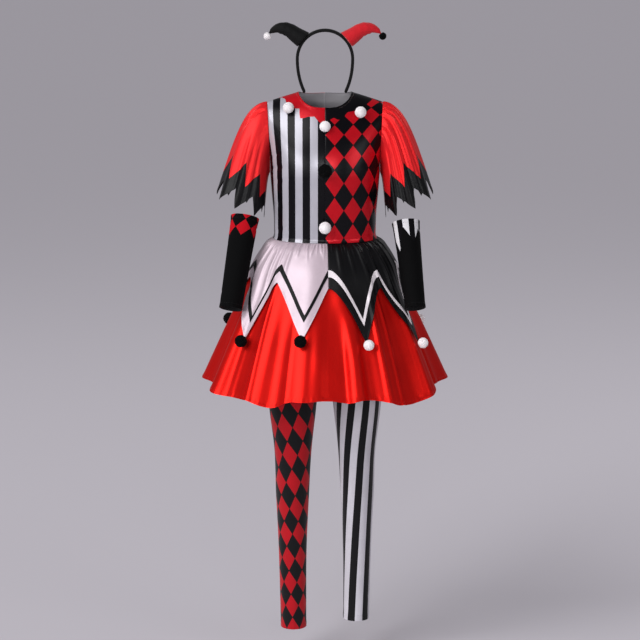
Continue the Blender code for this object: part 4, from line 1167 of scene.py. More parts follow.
def armhole_theta(phi):
    """Theta on the armhole's edge, which leans in from the underarm to the shoulder's end."""
    under = TORSO[-1].half_width
    edge = under + (SHOULDER_HALF_WIDTH - under) * np.sin(phi) ** 2
    return np.arcsin(np.clip(edge / dome_width(phi), None, 1))


def neck_theta(phi, start):
    """Theta on the neckline: a superellipse from its lowest point up to the shoulder."""
    share = np.clip((QUARTER - phi) / (QUARTER - start), 0, 1)
    x = NECK_HALF_WIDTH * (1 - share**NECK_SQUARENESS) ** (1 / NECK_SQUARENESS)
    return np.arcsin(x / dome_width(phi))


def mirrored(surface, side):
    """The same surface on the wearer's right, which is -X."""
    flip = np.array([-1.0 if side == "right" else 1.0, 1.0, 1.0])
    return lambda a, b: surface(a, b) * flip


def travelled(surface, a, b, along_b, steps=28):
    """Length along the surface from parameter 0 to a point, keeping its other parameter."""
    shares = np.linspace(0, 1, steps + 1)
    total, before = np.zeros(a.shape), None
    for share in shares:
        here = surface(a, b * share) if along_b else surface(a * share, b)
        if before is not None:
            total = total + np.linalg.norm(here - before, axis=-1)
        before = here
    return total


def trough_relief(table, points):
    """Soft troughs: a hump over the distance from a segment, seen along the front-back way."""
    x, z = np.abs(points[..., 0]), points[..., 2]
    total = np.zeros(x.shape)
    for row in table:
        way = np.array([row.end_x - row.x, row.end_z - row.z])
        long = np.linalg.norm(way)
        share = ((x - row.x) * way[0] + (z - row.z) * way[1]) / long**2
        off = ((x - row.x) * way[1] - (z - row.z) * way[0]) / long
        fade = ramp(share, *TROUGH_RISE) * (1 - ramp(share, *TROUGH_FADE))
        total -= row.depth * bump(off, row.half_width) * fade
    return total


def collar_mark(points, side, back):
    """Depth inside the printed collar: its zigzag reach at a point's angle, less the distance
    from the neck's middle as seen from the front."""
    front = COLLAR_RIGHT if side == "right" else COLLAR_LEFT
    table = COLLAR_BACK if back else front
    down = COLLAR_CENTRE_Z - points[..., 2]
    aside = np.abs(points[..., 0] + COLLAR_SHIFT)
    angle = np.degrees(np.arctan2(aside, down))
    reach = np.interp(angle, column(table, "at"), column(table, "reach"))
    return reach - np.hypot(aside, down)


def bodice_panel(side, back, face):
    """A quarter of the bodice, from a centre seam to a side seam and up to its shoulder."""
    start = NECK_BACK_PHI if back else NECK_FRONT_PHI
    levels = np.concatenate([
        np.linspace(0, 0.08, 6)[:-1],
        np.linspace(0.08, 1, 30)[:-1],
        1 + np.linspace(0, start, 40)[:-1] / QUARTER,
        1 + blend(start, QUARTER, np.linspace(0, 1, 36) ** 2) / QUARTER,
    ])
    phis = np.clip(levels - 1, 0, None) * QUARTER
    across = closer_at_ends(58)[:, None]
    theta = blend(neck_theta(phis, start)[None], armhole_theta(phis)[None], across)
    level = np.broadcast_to(levels, theta.shape).copy()

    def form(a, b):
        """The body's form on this side of it."""
        return torso(a, b, back)

    points = form(theta, level)
    height = travelled(form, theta, level, True)
    height = height + CROWD_SHARE * np.clip(height - CROWD_FROM, 0, None) ** 2
    flat = np.stack([travelled(form, theta, level, False), height], -1)
    neckline = points[0, levels >= 1 + start / QUARTER - 1e-6]
    from_neck = np.linalg.norm(points[:, :, None] - neckline[None, None, ::2], axis=-1).min(-1)
    from_side = lengths_along(points[::-1], 0)[::-1]
    from_top = lengths_along(points[:, ::-1], 1)[:, ::-1]
    from_waist = lengths_along(points, 1)
    below_neck = (levels < 1 + start / QUARTER)[None]
    from_centre = np.where(below_neck, np.abs(points[..., 0]), np.inf)
    relief = trough_relief(BACK_TROUGHS if back else FRONT_TROUGHS, points)
    relief = relief + seam_roll(from_side) + seam_roll(from_top) + seam_roll(from_centre)
    relief = relief + turned_edge(from_neck, NECK_HEM)
    relief = relief + WAIST_LIFT * np.clip(1 - from_waist / WAIST_LIFT_WIDTH, 0, 1) ** 2
    name = f"bodice_{'back' if back else 'front'}_{side}"
    surface = mirrored(form, side)
    cloth = sew(
        f"{name}_cloth", surface, theta, level, mm("thickness"),
        [face, finish("unprinted_reverse")],
        [name], flat, relief=relief, seams="a0 a1 b0 b1",
        outward=(side == "left") != back,
        marks={"collar": collar_mark(surface(theta, level), side, back)},
    )
    return cloth, levels, start


def neckline_stitches(cloth, levels, start):
    """A line of stitches inside the neckline: the grid's second parameter runs along the edge,
    and the place across is read where the distance from the edge reaches the stitching's."""
    rows = np.where(levels >= 1 + start / QUARTER - 1e-6)[0]
    edge = cloth.outer[0, rows]
    from_edge = np.linalg.norm(cloth.outer[:, :, None] - edge[None, None], axis=-1).min(-1)
    lines, normals = [], []
    for j in rows[3:]:
        i = int(np.argmax(from_edge[:, j] >= NECK_STITCH))
        lines.append(cloth.outer[i, j])
        normals.append(cloth.normal[i, j])
    return np.array(lines), np.array(normals)


def make_bodice():
    """The four printed quarters and the stitching of the neckline."""
    lines = []
    for side in ("right", "left"):
        face = bodice_print(side)
        for back in (False, True):
            lines.append(neckline_stitches(*bodice_panel(side, back, face)))
    stitching("stitching_neckline", lines, "peach_thread")


# ---- sleeves
def armhole(turn):
    """The armhole's edge. Turn is 0 at the underarm, 1/4 at the front and 1/2 at the top."""
    turn = np.mod(turn, 1.0)
    phi = QUARTER * (1 - np.abs(2 * turn - 1))
    theta = armhole_theta(phi)
    front = torso(theta, 1 + phi / QUARTER, False)
    rear = torso(theta, 1 + phi / QUARTER, True)
    return np.where((turn < 0.5)[..., None], front, rear) + ARMHOLE_GAP * ACROSS


def sleeve(turn, down):
    """A loft on four control curves from the armhole to the hem, a cubic Bezier in the way
    down. At the top it springs out and then falls, and at the underarm it falls straight."""
    round_ = 2 * np.pi * turn
    high = ((1 - np.cos(round_)) / 2)[..., None]
    forward, out = np.sin(round_)[..., None], -np.cos(round_)[..., None]
    first = armhole(turn)
    hem = np.array(HEM_CENTRE) + out * (HEM_OUT * ACROSS + HEM_RISE * UP)
    hem = hem + forward * HEM_DEEP * AHEAD
    second = first + ACROSS * blend(*HEAD_OUT, high) - UP * blend(*HEAD_FALL, high)
    second = second + HEAD_FORWARD * forward * AHEAD
    third = hem - ACROSS * blend(*HEM_PULL, high) + UP * blend(*HEM_HANG, high)
    t = down[..., None]
    points = first * (1 - t) ** 3 + 3 * second * t * (1 - t) ** 2
    points = points + 3 * third * t**2 * (1 - t) + hem * t**3
    swell = humps_at(SLEEVE_FOLDS, turn, 1) * np.clip(down, 0, 1) ** FOLD_GROWTH
    return points + swell[..., None] * unit(out * ACROSS + forward * AHEAD)


def sawtooth(turn, tip, notch):
    """Height of a zigzag edge: up steeply from a tip to a notch, then down to the next tip."""
    share = np.mod(turn * TEETH + 1e-9, 1.0)
    return blend(tip, notch, np.minimum(share / TOOTH_EDGE, (1 - share) / (1 - TOOTH_EDGE)))


def down_at(turns, heights):
    """How far down each sleeve line a height above its end lies, with the heights made smaller
    in proportion on a short line."""
    down = np.linspace(0, 1, LENGTH_STEPS)
    line = sleeve(turns[:, None] + 0 * down, down + 0 * turns[:, None])
    steps = np.linalg.norm(np.diff(line, axis=1), axis=-1)
    below = np.cumsum(steps[:, ::-1], axis=1)
    heights = heights * np.minimum(below[:, -1] / FULL_LENGTH, 1)
    below = np.concatenate([np.zeros((len(turns), 1)), below], axis=1)
    return np.array([np.interp(*pair, down[::-1]) for pair in zip(heights, below)])


def make_sleeves():
    """The red sleeves, the black points sewn to their zigzag edges, and the stitching there."""
    spans = ((0.0, TOOTH_EDGE, 6), (TOOTH_EDGE, RED_LAG, 12), (RED_LAG, 1.0, 6))
    places = np.concatenate([np.linspace(*span, endpoint=False) for span in spans])
    turns = np.concatenate([(tooth + places) / TEETH for tooth in range(TEETH)]) + FIRST_TOOTH
    black_edge = down_at(turns, sawtooth(turns - FIRST_TOOTH, 0.0, BLACK_NOTCH))
    red_edge = down_at(turns, sawtooth(turns - FIRST_TOOTH - RED_LAG / TEETH, RED_TIP, RED_NOTCH))
    around, long = OVAL_ROUND * (HEM_OUT + HEM_DEEP), FULL_LENGTH
    red_lines, black_lines = [], []
    for number, side in enumerate(("right", "left")):
        gathers = scattered_folds(
            11 + number, CAP_GATHERS, CAP_FROM, CAP_TO, CAP_RISE, CAP_LENGTHS,
            CAP_HEIGHTS[side], CAP_WIDTHS,
        )
        table = SLEEVE_CREASES[side] + gathers

        def cloth_part(name, b, face, back, seams, shown_edge):
            """One band of the sleeve, from its upper to its lower zigzag."""
            a = np.repeat(turns[:, None], b.shape[1], 1)
            closing = np.concatenate([a, a[:1] + 1])
            depth = np.concatenate([b, b[:1]])
            flat = np.stack([closing * around, depth * long], -1)
            from_edge = (b[:, -1:] - b) * long
            relief = folds_at(table, a, b, 1.0)
            relief = relief + turned_edge(from_edge, NARROW_HEM) if shown_edge else relief
            return sew(
                f"{name}_cloth", mirrored(sleeve, side), a, b, mm("thickness"),
                [finish(face), finish(back)], [name], flat,
                relief=relief, seams=seams,
                closed=True, outward=side == "right",
            )

        shares = spaced((0, 0.2, 22), (0.2, 1, 40))
        # The sleeves' red finish is a lightened copy of the satin's: painted light.
        red = cloth_part(
            f"sleeve_{side}", red_edge[:, None] * shares, "red_sleeve_satin",
            "red_satin_reverse", "b1", False,
        )
        shares = spaced((0, 0.8, 13), (0.8, 1, 6))
        black = cloth_part(
            f"sleeve_points_{side}", blend(red_edge[:, None], black_edge[:, None], shares),
            "black_polyester_satin", "black_satin_reverse", "b0", True,
        )
        red_lines += [row_of(red, -3), row_of(red, 3)]
        black_lines.append(row_of(black, -3))
    stitching("stitching_sleeves", red_lines, "red_thread")
    stitching("stitching_sleeve_points", black_lines, "black_thread")


# ---- skirts
def outer_form(angle, drop):
    """The overskirt's form at an angle round from the centre front and a drop below the waist:
    an oval that flares and rounds out, with flutes that grow towards the hem."""
    wide = read_table(FLARE, "drop", "half_width", drop)
    deep = read_table(FLARE, "drop", "half_depth", drop)
    square = read_table(FLARE, "drop", "squareness", drop)
    flutes = humps_at(FLUTES, np.degrees(angle), 360)
    out = flutes * read_table(FLARE, "drop", "growth", drop)
    x = (wide + out) * np.sin(angle)
    y = -(deep + out) * power(np.cos(angle), square)
    return np.stack([x, y, WAIST_Z - drop], axis=-1)


def inner_form(angle, drop):
    """The skirt's form, inside the overskirt's: close to it at the seam, then further in."""
    inset = SOLID_WALL + SOLID_GAP + SKIRT_INSET * np.clip(drop / SETTLE_DROP, 0, 1)
    return outer_form(angle, drop) - inset[..., None] * facing(outer_form, angle, drop, False)


def hem_drop(angle):
    """How far the hem hangs below the waist, lower where it dips."""
    return WAIST_Z - HEM_Z + humps_at(HEM_DIPS, np.degrees(angle), 360)


def gather_table():
    """The long gathers listed one by one and the short ones scattered between them."""
    short = scattered_folds(
        5, SHORT_GATHERS, SHORT_FROM, SHORT_TO, SHORT_RISE, SHORT_LENGTHS, SHORT_HEIGHTS,
        SHORT_WIDTHS,
    )
    return LONG_GATHERS + short


def point_edge(points, steps):
    """Angles round one half of the overskirt with the drop of its edge and of its ribbon. From
    a notch to a tip the drop follows a power of the share of the way."""
    angles, drops, lines = [], [], []
    shares = np.linspace(0, 1, steps + 1)
    for row in points:
        for start, end, low, high, ahead in (
            (row.start, row.tip, row.start_drop, row.tip_drop, True),
            (row.tip, row.end, row.end_drop, row.tip_drop, False),
        ):
            share = shares if ahead else shares[::-1]
            angles += blend(start, end, shares)[:-1].tolist()
            drops += blend(low, high, share**row.curve)[:-1].tolist()
            lines += blend(RIBBON_FROM_NOTCH, RIBBON_FROM_TIP, share)[:-1].tolist()
    angles.append(points[-1].end)
    drops.append(points[-1].end_drop)
    lines.append(RIBBON_FROM_NOTCH)
    return np.radians(angles), np.array(drops), np.array(lines)


def make_skirt():
    """The front and back panels of the red skirt with their hems and side seams."""
    lines = []
    seams = np.radians(SIDE_SEAMS)
    for name, first, last in (
        ("skirt_front", seams[0], seams[1]), ("skirt_back", seams[1], seams[0] + 2 * np.pi)
    ):
        angles = blend(first, last, np.linspace(0, 1, 330))
        shares = spaced((0, 0.25, 10), (0.25, 0.95, 36), (0.95, 1, 12))
        b = hem_drop(angles)[:, None] * shares
        a = np.repeat(angles[:, None], b.shape[1], 1)
        relief = folds_at(SKIRT_FOLDS, np.degrees(a), b, 360.0)
        base = inner_form(a, b)
        from_edge = lengths_along(base[:, ::-1], 1)[:, ::-1]
        along_hem = np.broadcast_to(lengths_along(base, 0)[:, -1:], a.shape)
        from_seam = np.minimum(lengths_along(base, 0), lengths_along(base[::-1], 0)[::-1])
        relief = relief + turned_edge(from_edge, mm("hem"), along_hem) + seam_roll(from_seam)
        flat = np.stack([a * SKIRT_CUT_RADIUS, b], -1)
        cloth = sew(
            f"{name}_cloth", inner_form, a, b, mm("thickness"),
            [finish("red_polyester_satin"), finish("red_satin_reverse")], [name],
            flat, relief=relief,
            seams="a0 a1 b0", outward=False,
        )
        row = int(np.argmax(from_edge[0] < mm("hem") - 0.5))
        lines.append(row_of(cloth, row))
    stitching("stitching_hem", lines, "red_thread")


def make_overskirt():
    """The two pointed halves of the overskirt with a line of contrast ribbon on each."""
    table = gather_table()

    def relief_at(a, b):
        """The skirt's folds and the overskirt's gathers together."""
        degrees = np.degrees(a)
        return folds_at(SKIRT_FOLDS, degrees, b, 360.0) + folds_at(table, degrees, b, 360.0)

    for side, points, hue, line_hue in (
        ("right", RIGHT_POINTS, "white", "black"), ("left", LEFT_POINTS, "black", "white"),
    ):
        angles, drops, gaps = point_edge(points, 30)
        shares = spaced((0, 0.36, 26), (0.36, 0.94, 26), (0.94, 1, 6))
        b = drops[:, None] * shares
        a = np.repeat(angles[:, None], b.shape[1], 1)
        base = outer_form(a, b)
        from_edge = lengths_along(base[:, ::-1], 1)[:, ::-1] * POINT_SLANT
        from_seam = np.minimum(lengths_along(base, 0), lengths_along(base[::-1], 0)[::-1])
        relief = relief_at(a, b) + turned_edge(from_edge, NARROW_HEM) + seam_roll(from_seam)
        cloth = sew(
            f"overskirt_{side}_cloth", outer_form, a, b, mm("thickness"),
            [finish(f"{hue}_polyester_satin"), finish(f"{hue}_satin_reverse")],
            [f"overskirt_{side}"],
            np.stack([a * OVERSKIRT_CUT_RADIUS, b], -1),
            relief=relief, seams="a0 a1 b0", outward=False,
        )
        low, across = (drops - gaps)[:, None], np.linspace(0, 1, 7)
        b = blend(low - RIBBON_DROP, low, across)
        a = np.repeat(angles[:, None], b.shape[1], 1)
        edge = np.minimum(across, across[::-1])
        crown = RIBBON_CROWN * np.clip(edge / RIBBON_SELVEDGE, 0, 1) - RIBBON_SINK
        relief = relief_at(a, b) + RIBBON_LIFT + RIBBON_WALL + crown[None]
        ribbon = sew(
            f"overskirt_line_{side}_ribbon", outer_form, a, b, RIBBON_WALL,
            [finish(f"{line_hue}_satin_ribbon")] * 2,
            [f"overskirt_line_{side}"],
            np.stack([a * OVERSKIRT_CUT_RADIUS, b], -1),
            relief=relief, outward=False,
        )
        lines = [row_of(cloth, -4)]
        stitching(f"stitching_overskirt_{side}", lines, f"{hue}_thread")
        lines = [row_of(ribbon, 1), row_of(ribbon, -2)]
        stitching(f"stitching_ribbon_{side}", lines, f"{line_hue}_thread")


# ---- leggings and arm warmers
def leg(share, z):
    """One leg. Its oval is cut open by the middle plane above the crotch."""
    centre = read_table(LEG, "z", "centre", z)
    wide = read_table(LEG, "z", "half_width", z)
    deep = read_table(LEG, "z", "half_depth", z)
    opened = np.arccos(np.clip(centre / wide, -1, 1))
    turn = blend(opened, 2 * np.pi - opened, share)
    x = centre - wide * np.cos(turn) + SOLID_GAP / 2
    return np.stack([x, -deep * np.sin(turn), z], axis=-1)


def leg_flat(share, z, side):
    """Place on the printed jersey: the way round from the front line, and the way down, both
    less where the knit is stretched, with the print's own lean added."""
    wide, deep = read_table(LEG, "z", "half_width", z), read_table(LEG, "z", "half_depth", z)
    opened = np.arccos(np.clip(read_table(LEG, "z", "centre", z) / wide, -1, 1))
    turn = blend(opened, 2 * np.pi - opened, share)
    cut, lower = LEG_PRINTS[side], np.clip((LEG_PRINT_TOP - z) / LEG_PRINT_LENGTH, 0, 1)
    stretch = blend(cut.thigh_stretch, cut.ankle_stretch, lower)
    steps = np.abs(np.diff(z, axis=1, prepend=z[:, :1])) / stretch
    lean = np.cumsum(steps * blend(cut.thigh_lean, cut.ankle_lean, lower), axis=1)
    across = (turn - QUARTER) * np.sqrt((wide**2 + deep**2) / 2) / stretch
    return np.stack([across + lean, np.cumsum(steps, axis=1)], -1)


def make_leggings():
    """The two halves of the leggings, their ankle hems and the elastic waistband."""
    lines = []
    for side in ("right", "left"):
        share = INSEAM_SHARE + (1 - 2 * INSEAM_SHARE) * closer_at_ends(84)
        ankle = ANKLE_Z[side]
        levels = spaced(
            (LEG[0].z, LEG_PRINT_TOP, 34), (LEG_PRINT_TOP, ankle + ANKLE_FINE, 70),
            (ankle + ANKLE_FINE, ankle, 12),
        )
        a, b = np.meshgrid(share, levels, indexing="ij")
        relief = turned_edge(b - ankle, ANKLE_HEM, a * ANKLE_ROUND)
        relief = relief + seam_roll(lengths_along(leg(a, b), 0))
        relief = relief + seam_roll(lengths_along(leg(a, b)[::-1], 0)[::-1])
        relief = relief - creases_at(LEG_CREASES, a, b, 1)
        name = f"leggings_{side}"
        cloth = sew(
            f"{name}_knit", mirrored(leg, side), a, b, mm("knit"),
            [legging_print(side), finish("unprinted_reverse")],
            [name],
            leg_flat(a, b, side), relief=relief,
            outward=side == "left",
        )
        lines.append(row_of(cloth, -8))
    stitching("stitching_ankles", lines, "black_thread")

    turns = np.linspace(0, 2 * np.pi, 150, endpoint=False)
    levels = np.linspace(WAISTBAND_TOP, WAISTBAND_BOTTOM, 14)
    a, b = np.meshgrid(turns, levels, indexing="ij")

    def ring(angle, z):
        """An oval of the body's squareness at a height."""
        x = WAISTBAND_HALF_WIDTH * np.sin(angle)
        y = -WAISTBAND_HALF_DEPTH * power(np.cos(angle), BODY_SQUARENESS)
        return np.stack([x, y, z], axis=-1)

    closing = np.concatenate([a, a[:1] + 2 * np.pi])
    flat = np.stack([closing * WAISTBAND_CUT_RADIUS, np.concatenate([b, b[:1]])], -1)
    half = (WAISTBAND_TOP - WAISTBAND_BOTTOM) / 2
    ribs = RIB_HEIGHT * np.sin(a * WAISTBAND_RIBS) * bump(b - levels.mean(), half - RIB_MARGIN)
    sew(
        "leggings_waistband_elastic", ring, a, b, mm("knit"),
        [finish("black_jersey"), finish("black_jersey")], ["leggings_waistband"],
        flat, relief=ribs - RIB_SINK, closed=True,
    )


def make_arm_warmers():
    """Two tubes from below the elbow to the wrist. Each ring lies square to the arm, and its
    radius narrows by a power of the way down."""
    lines = []
    for arm in ARMS:
        top, bottom = np.array(arm.top), np.array(arm.bottom)
        along = unit(bottom - top)
        across = unit(np.cross(along, -AHEAD))
        ahead = np.cross(across, along)

        def tube(turn, down):
            """The arm's own tube at a turn round it and a share of the way down."""
            radius = blend(arm.top_radius, arm.bottom_radius, np.clip(down, 0, 1) ** ARM_TAPER)
            way = np.cos(turn)[..., None] * across + np.sin(turn)[..., None] * ahead
            return top + (bottom - top) * down[..., None] + radius[..., None] * way

        turns = np.linspace(QUARTER, QUARTER + 2 * np.pi, 110, endpoint=False)
        shares = spaced((0, 0.06, 10), (0.06, 0.94, 56), (0.94, 1, 10))
        a, b = np.meshgrid(turns, shares, indexing="ij")
        long = np.linalg.norm(bottom - top)
        degrees = np.degrees(a) - 270.0
        relief = turned_edge(b * long, ARM_HEM, degrees * ARM_DEGREE)
        relief = relief + turned_edge((1 - b) * long, ARM_HEM, degrees * ARM_DEGREE)
        relief = relief - creases_at(ARM_CREASES, degrees, b, 360)
        closing = np.concatenate([a, a[:1] + 2 * np.pi])
        radius = (arm.top_radius + arm.bottom_radius) / 2 + ARM_EASE
        flat = np.stack([(closing - 3 * QUARTER) * radius, np.concatenate([b, b[:1]]) * long], -1)
        name = f"arm_warmer_{arm.side}"
        depth = np.full(a.shape, CUFF_DIAMOND[1] + print_sizes("cuff_diamond_height")[0] / 2)
        if arm.side == "left":
            place = wrapped(flat[:-1, :, 0], LEFT_CUFF_ROUND)
            depth = np.interp(place, column(LEFT_CUFF, "at"), column(LEFT_CUFF, "reach"))
        cloth = sew(
            f"{name}_knit", tube, a, b, mm("knit"),
            [cuff_print(arm.side), finish("black_jersey")], [name], flat,
            relief=relief, closed=True, outward=False,
            marks={"cuff": depth - b * long},
        )
        lines += [row_of(cloth, 6), row_of(cloth, -7)]
    stitching("stitching_arm_warmers", lines, "black_thread")


# ---- headband and horns
def band_place(angle, extra):
    """A point of the arch: angle 0 at the wearer's left, a quarter turn at the top."""
    high = np.sin(angle)
    z = BAND_CENTRE_Z + (np.where(high > 0, BAND_RISE, BAND_FALL) + extra) * high
    return (BAND_HALF_WIDTH + extra) * np.cos(angle), z


def tube_mesh(name, rings):
    """A closed skin over rings of points, each end shut by a fan to its own middle point."""
    count, sides = rings.shape[:2]
    i, j = (part.ravel() for part in np.mgrid[0 : count - 1, 0:sides])
    k = (j + 1) % sides
    ring, after = i * sides, (i + 1) * sides
    faces = np.stack([ring + j, ring + k, after + k, after + j], 1).tolist()
    j = np.arange(sides)
    k, last = (j + 1) % sides, (count - 1) * sides
    first_end, last_end = count * sides, count * sides + 1
    faces += np.stack([np.full(sides, first_end), k, j], 1).tolist()
    faces += np.stack([np.full(sides, last_end), last + j, last + k], 1).tolist()
    ends = [rings[0].mean(0), rings[-1].mean(0)]
    points = np.concatenate([rings.reshape(-1, 3), ends]) * MM
    mesh = bpy.data.meshes.new(name)
    mesh.from_pydata(points.tolist(), [], faces)
    shape = bmesh.new()
    shape.from_mesh(mesh)
    bmesh.ops.recalc_face_normals(shape, faces=shape.faces)
    if shape.calc_volume(signed=True) < 0:
        bmesh.ops.reverse_faces(shape, faces=shape.faces)
    shape.to_mesh(mesh)
    shape.free()
    return mesh


def make_headband():
    """The cloth-covered band: a rounded strip carried along the arch, its section an oval
    raised to a small power, with the cover's seam pressed in along the underside."""
    angles = np.linspace(-BAND_END_ANGLE, math.pi + BAND_END_ANGLE, 120)
    turns = np.linspace(0, 2 * np.pi, 40, endpoint=False)
    a, t = np.meshgrid(angles, turns, indexing="ij")
    taper = np.clip(np.minimum(a - angles[0], angles[-1] - a) / BAND_TAPER, 0, 1)
    slim = blend(BAND_SLIM, 1.0, np.sqrt(1 - (1 - taper) ** 2))
    below = wrapped(t - 3 * QUARTER, 2 * np.pi)
    seam = BAND_SEAM * bump(below, BAND_SEAM_TURN)
    pucker = BAND_PUCKER * np.sin(a * BAND_PUCKERS + 3 * np.sin(t))
    pucker = pucker * bump(below, BAND_PUCKER_TURN)
    thick = BAND_THICK / 2 * slim * power(np.sin(t), BAND_SQUARENESS)
    thick = thick + np.where(np.sin(t) < 0, seam, 0) + pucker
    wide = BAND_WIDE / 2 * slim * power(np.cos(t), BAND_SQUARENESS)
    x, z = band_place(a, thick)
    rings = np.stack([x, BAND_Y + wide, z], -1)
    mesh = tube_mesh("headband_cover", rings)
    face = [finish("black_velour")]
    piece = finish_piece("headband_cover", mesh, face, ["headband_band"])


def horn_rings(flip):
    """Rings of a drooping horn: its base follows the band's curve, then each ring stands
    square to a smooth curve through the horn's own table. Its blunt tip goes on into the
    pompom, so that the remeshed horn still meets it."""
    turns = np.linspace(0, 2 * np.pi, 28, endpoint=False)
    rings = []
    for share in HORN_BASE_RINGS:
        reach = HORN_BASE_RADIUS * share
        lean = reach * np.cos(turns) / (BAND_HALF_WIDTH + BAND_THICK / 2)
        x, z = band_place(HORN_BASE_ANGLE + lean, BAND_THICK / 2 + HORN_LIFT)
        rings.append(np.stack([x, reach * HORN_BASE_DEPTH * np.sin(turns), z], -1))
    xs = blend(HORN[0].x, HORN[-1].x, np.linspace(0, 1, 26) ** 0.9)
    zs = read_table(HORN, "x", "z", xs)
    radii = np.maximum(read_table(HORN, "x", "radius", xs), HORN_TIP_RADIUS)
    way = unit(np.gradient(np.stack([xs, zs], 1), axis=0))
    for x, z, radius, (ahead, up) in zip(xs, zs, radii, way):
        around = radius * np.cos(turns)
        rings.append(np.stack([x - up * around, radius * np.sin(turns), z + ahead * around], -1))
    rings.append(rings[-1] + HORN_TUCK * np.array([HORN_TIP_WAY[0], 0.0, HORN_TIP_WAY[1]]))
    return (np.array(rings) + np.array([0.0, BAND_Y, 0.0])) * np.array([flip, 1.0, 1.0])


def stuff(piece):
    """Fills a closed skin: remeshes it, lets pressure swell it as cloth and caps the swelling."""
    remesh = piece.modifiers.new("remesh", "REMESH")
    remesh.mode = "VOXEL"
    remesh.voxel_size = HORN_VOXEL * MM
    apply_modifiers(piece)
    start = np.empty(len(piece.data.vertices) * 3)
    piece.data.vertices.foreach_get("co", start)
    cloth = piece.modifiers.new("stuffing", "CLOTH")
    cloth.settings.use_pressure = True
    cloth.settings.uniform_pressure_force = HORN_PRESSURE
    cloth.settings.effector_weights.gravity = 0.0
    cloth.settings.quality = 5
    for number in range(1, HORN_FRAMES + 1):
        bpy.context.scene.frame_set(number)
    apply_modifiers(piece)
    bpy.context.scene.frame_set(1)
    moved = np.empty_like(start)
    piece.data.vertices.foreach_get("co", moved)
    step = (moved - start).reshape(-1, 3)
    far = np.linalg.norm(step, axis=1, keepdims=True)
    step = step * np.minimum(1, HORN_SWELL * MM / np.maximum(far, 1e-9))
    piece.data.vertices.foreach_set("co", (start.reshape(-1, 3) + step).ravel())
    smooth = piece.modifiers.new("smooth", "SUBSURF")
    smooth.levels = smooth.render_levels = 1
    apply_modifiers(piece)


def apply_modifiers(piece):
    """Keeps the mesh that the modifiers give and takes them off the piece."""
    graph = bpy.context.evaluated_depsgraph_get()
    kept = bpy.data.meshes.new_from_object(piece.evaluated_get(graph), depsgraph=graph)
    piece.modifiers.clear()
    piece.data = kept


def crease_horn(piece, flip):
    """Presses in the seam along the horn's middle, and adds short wrinkles under its bend and
    soft pulls over it: sine waves along x, bowed or slanting, that fade out beside the bend."""
    mesh = piece.data
    flat = np.empty(len(mesh.vertices) * 3)
    mesh.vertices.foreach_get("co", flat)
    normals = np.empty_like(flat)
    mesh.vertices.foreach_get("normal", normals)
    points, normals = flat.reshape(-1, 3) / MM, normals.reshape(-1, 3)
    x, y = points[:, 0] * flip, points[:, 1] - BAND_Y
    axis_z = read_table(HORN, "x", "z", np.clip(x, HORN[0].x, HORN[-1].x))
    under = ramp(axis_z - points[:, 2], 0.0, HORN_UNDER)
    wrinkles = np.sin(x / WRINKLE_LENGTH + WRINKLE_BOW * y**2)
    wrinkles = wrinkles * bump(x - WRINKLE_MIDDLE, WRINKLE_REACH) * under
    pulls = np.sin(x / PULL_LENGTH + y / PULL_SLANT)
    pulls = pulls * bump(x - PULL_MIDDLE, PULL_REACH) * (1 - under)
    relief = HORN_WRINKLE * wrinkles + HORN_PULL * pulls - HORN_SEAM * bump(y, HORN_SEAM_WIDTH)
    relief = relief * ramp(x, HORN[0].x + HORN_FOOT[0], HORN[0].x + HORN_FOOT[1])
    mesh.vertices.foreach_set("co", ((points + relief[:, None] * normals) * MM).ravel())
    mesh.shade_smooth()


def make_horns():
    """The two stuffed horns, black on the wearer's right and red on the left."""
    for side, hue, flip in (("right", "black", -1.0), ("left", "red", 1.0)):
        face = [finish(f"{hue}_velour")]
        name, slot = f"horn_{side}_stuffed", f"{hue}_cloth"
        mesh = tube_mesh(name, horn_rings(flip))
        piece = finish_piece(name, mesh, face, [f"horn_{side}"])
        stuff(piece)
        crease_horn(piece, flip)


# ---- pompoms
def pompom_mesh(name, radius, centre, out, seed):
    """A ball of cut yarn: three-sided strands stand out from a round core, spread evenly by
    the golden angle and shaken a little, with none on the side that rests on the cloth."""
    draw = np.random.default_rng(seed)
    count = bpy.context.scene.costume_yarn.strands
    number = np.arange(count) + 0.5
    high = 1 - 2 * number / count
    turn = number * math.pi * (3 - math.sqrt(5))
    flat = np.sqrt(1 - high**2)
    way = np.stack([flat * np.cos(turn), flat * np.sin(turn), high], 1)
    way = unit(way + draw.normal(0, YARN_SHAKE, way.shape))
    way = way[way @ out > YARN_BACK]
    count = len(way)
    aside = unit(np.cross(way, np.where(np.abs(way[:, 2:]) < 0.8, UP, ACROSS)))
    other = np.cross(way, aside)
    thick = mm("strand", "costume_yarn") / 2 * radius / YARN_RADIUS
    rings = []
    reach = radius * draw.uniform(*YARN_REACH, (count, 1))
    lean = draw.normal(0, YARN_LEAN, way.shape)
    for distance, wide in ((radius * YARN_ROOT, thick * 0.8), (reach, thick)):
        middle = centre + unit(way + lean * (distance / radius)) * distance
        for corner in (0.0, 2 * math.pi / 3, 4 * math.pi / 3):
            rings.append(middle + wide * (math.cos(corner) * aside + math.sin(corner) * other))
    points = np.stack(rings, 1).reshape(-1, 3)
    base = 6 * np.arange(count)[:, None]
    quads = np.concatenate([base + [a, b, b + 3, a + 3] for a, b in ((0, 1), (1, 2), (2, 0))])
    caps = np.concatenate([base + [3, 4, 5], base + [2, 1, 0]])
    core = bmesh.new()
    bmesh.ops.create_icosphere(core, subdivisions=3, radius=radius * YARN_CORE)
    core_points = np.array([vertex.co[:] for vertex in core.verts]) + centre
    core_faces = [[vertex.index + len(points) for vertex in face.verts] for face in core.faces]
    core.free()
    points = np.concatenate([points, core_points]) * MM
    mesh = bpy.data.meshes.new(name)
    mesh.from_pydata(points.tolist(), [], quads.tolist() + caps.tolist() + core_faces)
    return mesh


